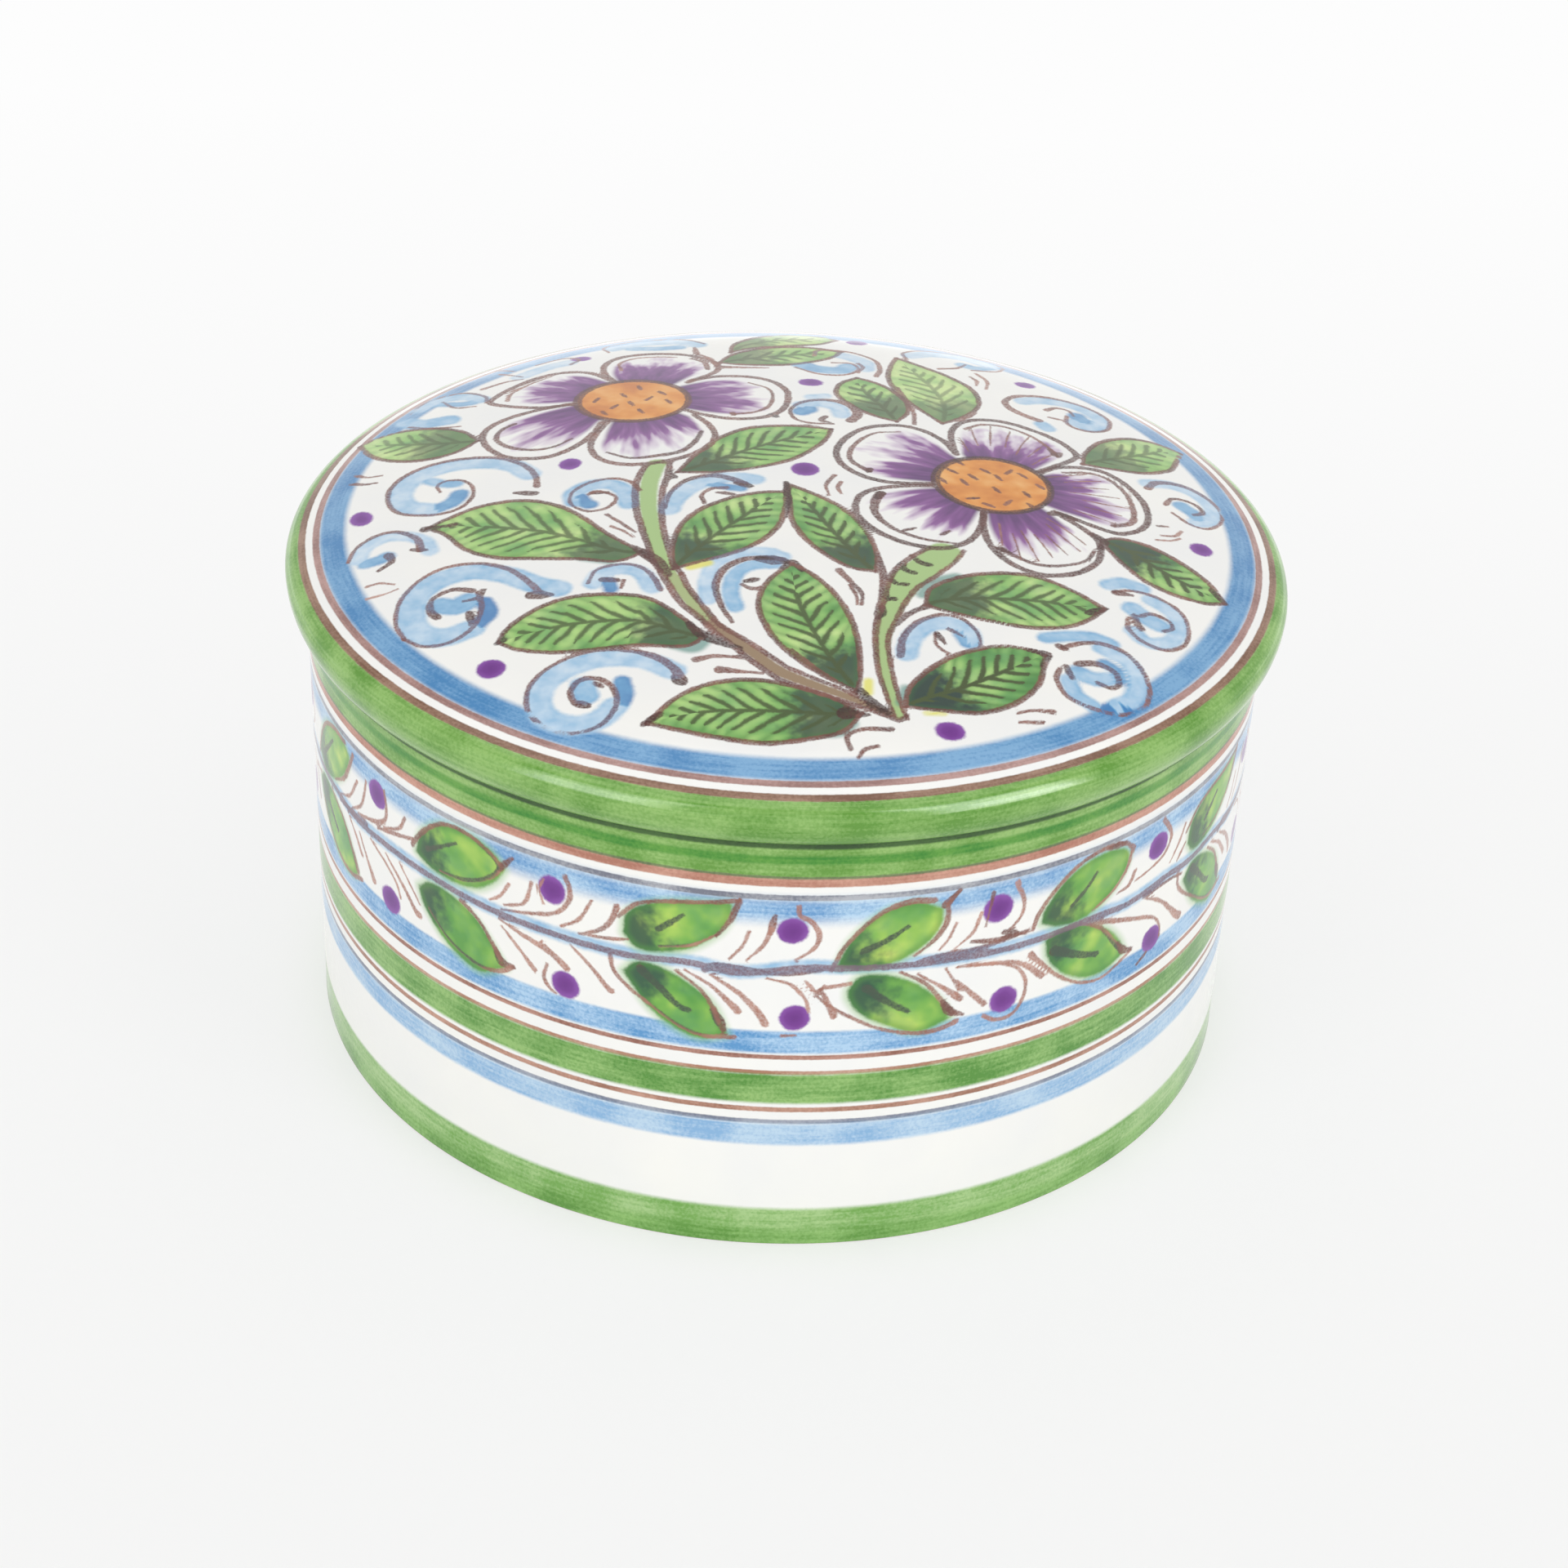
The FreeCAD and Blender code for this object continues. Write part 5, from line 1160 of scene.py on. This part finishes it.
def draw_ribs(tree, look, place, wander, leaf, pool, load):
    """A midrib that fades out before the tip, and side ribs 2.4 mm apart that miss the edge."""
    run, side, gap, length, tone = leaf
    off = add(tree, "Math", {0: side}, operation="ABSOLUTE").outputs[0]
    past = add(tree, "Math", {0: length, 1: -0.75, 2: run}, operation="MULTIPLY_ADD").outputs[0]
    past = add(tree, "Math", {0: past, 1: 0.0}, operation="MAXIMUM").outputs[0]
    midrib = add(tree, "Math", {0: off, 1: past}, operation="ADD").outputs[0]
    midrib = add(tree, "Math", {0: midrib, 1: wander}, operation="ADD").outputs[0]
    midrib = add(tree, "Math", {0: midrib, 1: 0.33}, operation="SUBTRACT").outputs[0]

    # the side ribs of one half start midway between those of the other
    left = add(tree, "Math", {0: side, 1: 0.0}, operation="GREATER_THAN").outputs[0]
    back = add(tree, "Math", {0: off, 1: -1.05, 2: run}, operation="MULTIPLY_ADD").outputs[0]
    back = add(tree, "Math", {0: left, 1: 1.2, 2: back}, operation="MULTIPLY_ADD").outputs[0]
    sway = mottle(tree, place, 6.0, -0.4, 0.4, 1.0)
    back = add(tree, "Math", {0: back, 1: sway}, operation="ADD").outputs[0]
    to_rib = add(tree, "Math", {0: back, 1: 1.2}, operation="PINGPONG").outputs[0]
    to_rib = add(tree, "Math", {0: to_rib, 1: 0.66}, operation="MULTIPLY").outputs[0]
    inside = add(tree, "Math", {0: gap, 1: 0.4}, operation="ADD").outputs[0]

    # a soft shade lies along each side rib, though not in the dark pool at the leaf's base
    shade = add(tree, "Math", {0: to_rib, 1: 0.25}, operation="SUBTRACT").outputs[0]
    from_pool = add(tree, "Math", {0: pool, 1: -1.0}, operation="MULTIPLY").outputs[0]
    for limit in (inside, from_pool):
        shade = add(tree, "Math", {0: shade, 1: limit}, operation="MAXIMUM").outputs[0]
    shade_load = add(tree, "Math", {0: tone, 1: 1.3}, operation="MULTIPLY").outputs[0]
    look = brushed(tree, look, colour("#4A7E3F"), shade, 0.5, shade_load)

    half = add(tree, "MapRange", {0: off, 1: 0.0, 2: 5.0, 3: 0.36, 4: 0.18}).outputs[0]
    to_rib = add(tree, "Math", {0: to_rib, 1: half}, operation="SUBTRACT").outputs[0]
    short = add(tree, "MapRange", {0: gap, 1: -1.6, 2: -0.9, 3: 0.0, 4: 1.0}).outputs[0]
    for more in (short, wander):
        to_rib = add(tree, "Math", {0: to_rib, 1: more}, operation="ADD").outputs[0]
    ribs = add(tree, "Math", {0: midrib, 1: to_rib}, operation="MINIMUM").outputs[0]
    ribs = add(tree, "Math", {0: ribs, 1: inside}, operation="MAXIMUM").outputs[0]
    return brushed(tree, look, colour("#48552F"), ribs, 0.18, load)


def lay_leaves(tree, look, place, wander, lid):
    """Yellow, mid and blue greens run together, and the brush leaves a dark pool at each leaf's base."""
    if lid:
        greens = ("#CDE398", "#B1D583", "#8FBF6C", "#6AA258", "#4C854C")
        pool_length, pool_colour, rim_load = 8.0, "#33463E", 0.2
    else:
        greens = ("#D2DF6A", "#A4CB5A", "#79B24C", "#589A42", "#3F8044")
        pool_length, pool_colour, rim_load = 4.6, "#264B3E", 0.55
    run, side, gap = kept(tree, "leaf")
    length, tone, _ = kept(tree, "leaf_look")
    light = mottle(tree, place, 5.0, -0.33, 0.33)
    light = add(tree, "Math", {0: light, 1: tone}, operation="ADD").outputs[0]
    green = add(tree, "ValToRGB", {0: light}, greens).outputs[0]
    cool = mottle(tree, place, 3.6, -1.2, 2.6)
    green = brushed(tree, green, colour("#5C9A68"), cool, 1.4, 0.4)
    pool = mottle(tree, place, 1.8, -1.4, 1.4)
    pool = add(tree, "Math", {0: run, 1: pool}, operation="ADD").outputs[0]
    pool = add(tree, "Math", {0: pool, 1: pool_length}, operation="SUBTRACT").outputs[0]
    # a leaf on the lid that was painted darker has the darker pool and ribs
    load = add(tree, "Math", {0: tone, 1: 0.9, 2: 0.5}, operation="MULTIPLY_ADD", use_clamp=True).outputs[0]
    green = brushed(tree, green, colour(pool_colour), pool, 2.1, load if lid else 0.9)
    rim = add(tree, "Math", {0: -0.7, 1: gap}, operation="SUBTRACT").outputs[0]
    green = brushed(tree, green, colour("#4C8B3C"), rim, 0.5, rim_load)
    if not lid:
        # the green bled a little into the white round it
        halo = add(tree, "Math", {0: gap, 1: 0.5}, operation="SUBTRACT").outputs[0]
        look = brushed(tree, look, colour("#8FBF77"), halo, 0.7, 0.6)
    gap = add(tree, "Math", {0: gap, 1: wander}, operation="ADD").outputs[0]
    look = brushed(tree, look, green, gap, 0.28)
    if lid:
        look = draw_ribs(tree, look, place, wander, (run, side, gap, length, tone), pool, load)
    return look, gap


def draw_lines(tree, look, place, wander, washed, in_leaf, lid):
    """The drawing over all of it, in thin brown that turns near black where the brush paused."""
    if lid:
        browns = ("#BC8F80", "#8F5E52", "#653C37", "#452825", "#301C1A")
    else:
        browns = ("#C99988", "#A87565", "#7D5047", "#553733", "#382523")
    tones = kept(tree, "line_tone")
    uneven = mottle(tree, place, 2.4, -0.13, 0.13)
    grain = mottle(tree, place, 0.3, 0.72, 1.0, 1.0)
    for number, layer in enumerate(Painting.LINES):
        # the side on which a place lies says where a thin line runs between two vertices
        gap, side, half = kept(tree, layer)
        side = add(tree, "Math", {0: side}, operation="ABSOLUTE").outputs[0]
        side = add(tree, "Math", {0: side, 1: half}, operation="SUBTRACT").outputs[0]
        missed = add(tree, "Math", {0: 0.4, 1: half}, operation="SUBTRACT").outputs[0]
        missed = add(tree, "Math", {0: missed, 1: 0.0}, operation="MAXIMUM").outputs[0]
        gap = add(tree, "Math", {0: gap, 1: missed}, operation="SUBTRACT").outputs[0]
        gap = add(tree, "Math", {0: gap, 1: side}, operation="MAXIMUM").outputs[0]
        gap = add(tree, "Math", {0: gap, 1: wander}, operation="ADD").outputs[0]
        tone = add(tree, "Math", {0: tones[number], 1: uneven}, operation="ADD").outputs[0]
        brown = add(tree, "ValToRGB", {0: tone}, browns).outputs[0]
        # the brown turns bluish over a wash, and on the wall greenish over a leaf
        brown = brushed(tree, brown, colour("#6D6C88"), washed, 0.35, 0.55)
        if not lid:
            brown = brushed(tree, brown, colour("#3B5242"), in_leaf, 0.25, 0.85)
        look = brushed(tree, look, brown, gap, 0.14, grain)
    return look


def painted_glaze(name, lid):
    """White tin glaze, painted before its firing: the pigments sink into it and soften at their edges.

    Glossy and opaque, it shows the brush only as streaks of thin and thick colour, never as relief. It also
    holds painted shade by the joint and low on the foot, and on the wall a painted reflection.
    """
    material, tree, place = new_material(name)
    _, _, z = add(tree, "SeparateXYZ", {0: place}).outputs
    flat = add(tree, "VectorMath", {0: place, 1: (1, 1, 0)}, operation="MULTIPLY").outputs[0]
    r = add(tree, "VectorMath", {0: flat}, operation="LENGTH").outputs[1]

    # the edge of a stroke wanders a little, in mm, where the pigment soaked in
    wander = mottle(tree, place, 1.2, -0.06, 0.06)
    soak = mottle(tree, place, 0.35, -0.04, 0.04, 1.0)
    wander = add(tree, "Math", {0: wander, 1: soak}, operation="ADD").outputs[0]
    cloud = mottle(tree, place, 2.2, -0.13, 0.13)

    # the ground is a cool white, a little creamier where the glaze ran thin
    ground = mottle(tree, place, 14.0, 0.0, 1.0)
    look = add(tree, "ValToRGB", {0: ground}, ("#F0F0EF", "#F5F4F0")).outputs[0]
    streaks = wheel_streaks(tree, place, flat, r, z)
    look = lay_bands(tree, look, LID_BANDS if lid else WALL_BANDS_AND_PAINTED_LIGHT, r if lid else z, streaks, wander)
    if lid:
        # painted shadow: the green darkens where the edge turns under to the joint, for the shade in the gap
        # between lid and box
        joint = add(tree, "Math", {0: z, 1: 59.5}, operation="SUBTRACT").outputs[0]
        look = brushed(tree, look, colour("#35532A"), joint, 0.2)

    look, washed = lay_washes(tree, look, wander, cloud)
    look = lay_petals(tree, look, place)
    # stems: pale green that turns olive brown at the foot
    gap, tone, middle = kept(tree, "stem")
    gap = add(tree, "Math", {0: gap, 1: wander}, operation="ADD").outputs[0]
    pale = add(tree, "ValToRGB", {0: tone}, ("#A3C27C", "#A8A576", "#93795A")).outputs[0]
    look = brushed(tree, look, pale, gap, 0.3, 0.95)
    berry, yellow, teal = kept(tree, "spot")
    look = brushed(tree, look, colour("#4E8F84"), teal, 0.5, 0.75)
    look, leaf = lay_leaves(tree, look, place, wander, lid)

    # flower middles, touches of yellow, and berries that are darker within
    if lid:
        warm = mottle(tree, place, 4.0, 0.0, 1.0)
        warm = add(tree, "ValToRGB", {0: warm}, ("#ECAF66", "#E19543", "#CC7A30")).outputs[0]
        look = brushed(tree, look, warm, middle, 0.2)
    look = brushed(tree, look, colour("#E3DE5C"), yellow, 0.4, 0.85)
    depth = add(tree, "Math", {0: berry, 1: -0.6}, operation="MULTIPLY").outputs[0]
    depth = add(tree, "Math", {0: depth, 1: cloud}, operation="ADD").outputs[0]
    violet = add(tree, "ValToRGB", {0: depth}, ("#8A4FA8", "#74348F", "#6B2C86")).outputs[0]
    berry = add(tree, "Math", {0: berry, 1: wander}, operation="ADD").outputs[0]
    look = brushed(tree, look, violet, berry, 0.22)

    in_leaf = add(tree, "Math", {0: leaf, 1: 0.65}, operation="ADD").outputs[0]
    look = draw_lines(tree, look, place, wander, washed, in_leaf, lid)

    # fired gloss: the skin waves a little over a centimetre and is pitted by pinholes
    wave = mottle(tree, place, 11.0, -0.5, 0.5, 1.0)
    peel = mottle(tree, place, 0.9, -0.5, 0.5, 1.0)
    fired(tree, look, [(wave, 0.00004), (peel, 0.000004)], Roughness=0.12)
    return material


def plain_glaze():
    """The same white tin glaze unpainted, inside and underneath, with a rare iron speck in it."""
    material, tree, place = new_material("plain_white_glaze")
    ground = mottle(tree, place, 12.0, 0.0, 1.0)
    look = add(tree, "ValToRGB", {0: ground}, ("#E9EAE6", "#F3F2EC")).outputs[0]
    speck = add(tree, "TexVoronoi", {"Vector": place, "Scale": 1 / 7}).outputs["Distance"]
    speck = add(tree, "Math", {0: speck, 1: 0.035}, operation="SUBTRACT").outputs[0]
    look = brushed(tree, look, colour("#B9A48F"), speck, 0.012, 0.6)
    wave = mottle(tree, place, 8.0, -0.5, 0.5, 1.0)
    fired(tree, look, [(wave, 0.00006)], Roughness=0.14)
    return material


def bare_clay():
    """Fired earthenware where the glaze was wiped off: matt, porous and pinkish, with grains of grog."""
    material, tree, place = new_material("bare_earthenware")
    ground = mottle(tree, place, 1.4, 0.0, 1.0, 5.0)
    look = add(tree, "ValToRGB", {0: ground}, ("#BE9279", "#CFA78C", "#D9B79D")).outputs[0]
    grain = mottle(tree, place, 0.4, -0.5, 0.5, 3.0)
    fired(tree, look, [(grain, 0.00003)], Roughness=0.85, **{"Specular IOR Level": 0.3})
    return material


def pale_table():
    """A plain white table top that shows as near white to the camera and keeps the box's soft shadow."""
    material, tree, place = new_material("pale_table")
    path = add(tree, "LightPath").outputs
    seen = add(tree, "Math", {0: path["Is Camera Ray"], 1: path["Is Glossy Ray"]},
               operation="MAXIMUM").outputs[0]
    # far behind the box the table is all backdrop, and in front of it half is its own light and shade
    _, back, _ = add(tree, "SeparateXYZ", {0: place}).outputs
    lit = add(tree, "MapRange", {0: back, 1: -150, 2: 300, 3: 0.5, 4: 1.0}).outputs[0]
    seen = add(tree, "Math", {0: seen, 1: lit}, operation="MULTIPLY").outputs[0]
    paper = add(tree, "BsdfDiffuse", {"Color": colour("#F0F0F0")})
    # the gloss sees it brighter far behind, as the haze on the lid's far side
    far = add(tree, "MapRange", {0: back, 1: 150, 2: 400, 3: 0.0, 4: 0.6}).outputs[0]
    veil = add(tree, "Math", {0: path["Is Glossy Ray"], 1: far, 2: 1.0}, operation="MULTIPLY_ADD").outputs[0]
    light = add(tree, "Emission", {"Color": colour("#FDFDFD"), "Strength": veil})
    mixed = add(tree, "MixShader", {0: seen, 1: paper.outputs[0], 2: light.outputs[0]})
    add(tree, "OutputMaterial", {0: mixed.outputs[0]})
    return material


# The light of the room overhead, and what its pale walls add to it low down, where 1 is white.
ROOM_LIGHT, LOW_LIGHT = 0.44, 0.8
# Tall soft boxes that only the gloss shows: level way along each, way towards it, strength.
SOFT_BOXES = [
    ((0.77, -0.64, 0.0), (-0.64, -0.77, 0.0), 3.0),
    ((0.64, 0.77, 0.0), (0.77, -0.64, 0.0), 7.0),
]
# The lamps, all turned to the box: place, width and height in metres, watts.
LAMPS = [
    ("lamp_left", (-0.77, -0.92, 0.5), (0.5, 0.7), 2.8),
    ("lamp_right", (0.93, -0.72, 0.45), (0.45, 0.4), 2.6),
    ("lamp_over", (0.0, 0.0, 1.3), (1.4, 1.4), 4.4),
]


def light_room():
    """White surroundings for the camera; for the box a soft light, brighter low down than overhead."""
    world = bpy.data.worlds.new("white_room")
    bpy.context.scene.world = world
    world.use_nodes = True
    tree = world.node_tree
    tree.nodes.clear()
    way = add(tree, "TexCoord").outputs["Generated"]
    height = add(tree, "SeparateXYZ", {0: way}).outputs["Z"]
    glow = add(tree, "MapRange", {0: height, 1: 0.0, 2: 1.0, 3: ROOM_LIGHT + LOW_LIGHT,
                                  4: ROOM_LIGHT}).outputs[0]
    path = add(tree, "LightPath").outputs
    for across, front, strength in SOFT_BOXES:
        aside = add(tree, "VectorMath", {0: way, 1: across}, operation="DOT_PRODUCT").outputs[1]
        aside = add(tree, "Math", {0: aside}, operation="ABSOLUTE").outputs[0]
        width = add(tree, "MapRange", {0: aside, 1: 0.32, 2: 0.22}).outputs[0]
        ahead = add(tree, "VectorMath", {0: way, 1: front}, operation="DOT_PRODUCT").outputs[1]
        ahead = add(tree, "Math", {0: ahead, 1: 0.3}, operation="GREATER_THAN").outputs[0]
        box = add(tree, "MapRange", {0: height, 1: 0.8, 2: 0.7}).outputs[0]
        for limit in (width, ahead, path["Is Glossy Ray"]):
            box = add(tree, "Math", {0: box, 1: limit}, operation="MULTIPLY").outputs[0]
        glow = add(tree, "Math", {0: box, 1: strength, 2: glow}, operation="MULTIPLY_ADD").outputs[0]
    room = add(tree, "Background", {"Color": colour("#F8F8F7"), "Strength": glow}).outputs[0]
    seen = add(tree, "Background", {"Color": colour("#FDFDFD"), "Strength": 1.0}).outputs[0]
    mixed = add(tree, "MixShader", {0: path["Is Camera Ray"], 1: room, 2: seen})
    add(tree, "OutputWorld", {0: mixed.outputs[0]})


def studio():
    """A white table and room, a broad lamp on each side of the front and one overhead, and the camera."""
    bm = bmesh.new()
    bmesh.ops.create_grid(bm, x_segments=1, y_segments=1, size=3.0)
    mesh = bpy.data.meshes.new("table_top")
    bm.to_mesh(mesh)
    bm.free()
    mesh.materials.append(pale_table())
    table = bpy.data.objects.new("table_top", mesh)
    bpy.context.scene.collection.objects.link(table)
    light_room()

    for name, place, size, watts in LAMPS:
        data = bpy.data.lights.new(name, "AREA")
        data.shape = "RECTANGLE"
        data.size, data.size_y = size
        data.energy = watts
        lamp = bpy.data.objects.new(name, data)
        lamp.location = place
        lamp.rotation_euler = (Vector((0, 0, 0.04)) - Vector(place)).to_track_quat("-Z", "Y").to_euler()
        bpy.context.scene.collection.objects.link(lamp)

    # the camera stands where the photograph's stood
    data = bpy.data.cameras.new("photo_view")
    data.sensor_width = 36.0
    data.lens = 80.33
    camera = bpy.data.objects.new("photo_view", data)
    right, up = Vector((0.99897778, 0.02255562, 0.03917436)), Vector((-0.04516406, 0.53436961, 0.84404344))
    turned = Matrix((right, up, right.cross(up))).transposed().to_4x4()
    camera.matrix_world = Matrix.Translation((0, -0.38702, 0.27330)) @ turned
    bpy.context.scene.collection.objects.link(camera)
    bpy.context.scene.camera = camera
    bpy.context.scene.view_settings.view_transform = "Standard"


def build():
    """Both pieces, painted and laid over the frame's own."""
    white, clay = plain_glaze(), bare_clay()

    lid = make_lid()
    crown = [(r, float(lid_top(r))) for r in (0, 10, 20, 30, 40, 50, DISC)]
    surface = Surface(lid, crown + lid_rings())
    top = np.nonzero((surface.z > 64) & (surface.r < 60))[0]
    paint_lid(surface.at[top, :2]).put_on(surface.mesh, top)
    lay_out_lid(surface, [painted_glaze("painted_tin_glaze_lid", True), clay, white])
    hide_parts("lid")
    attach(lid, "lid")

    box = make_box()
    surface = Surface(box, box_section())
    wall = np.nonzero((surface.z > 28.5) & (surface.z < 53) & (surface.r > 59))[0]
    paint_wall(np.stack([surface.turn[wall] * WALL_RADIUS, surface.z[wall]], 1)).put_on(surface.mesh, wall)
    lay_out_box(surface, [painted_glaze("painted_tin_glaze_box", False), clay, white])
    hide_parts("box_body")
    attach(box, "box")


build()
studio()
bpy.context.view_layer.update()
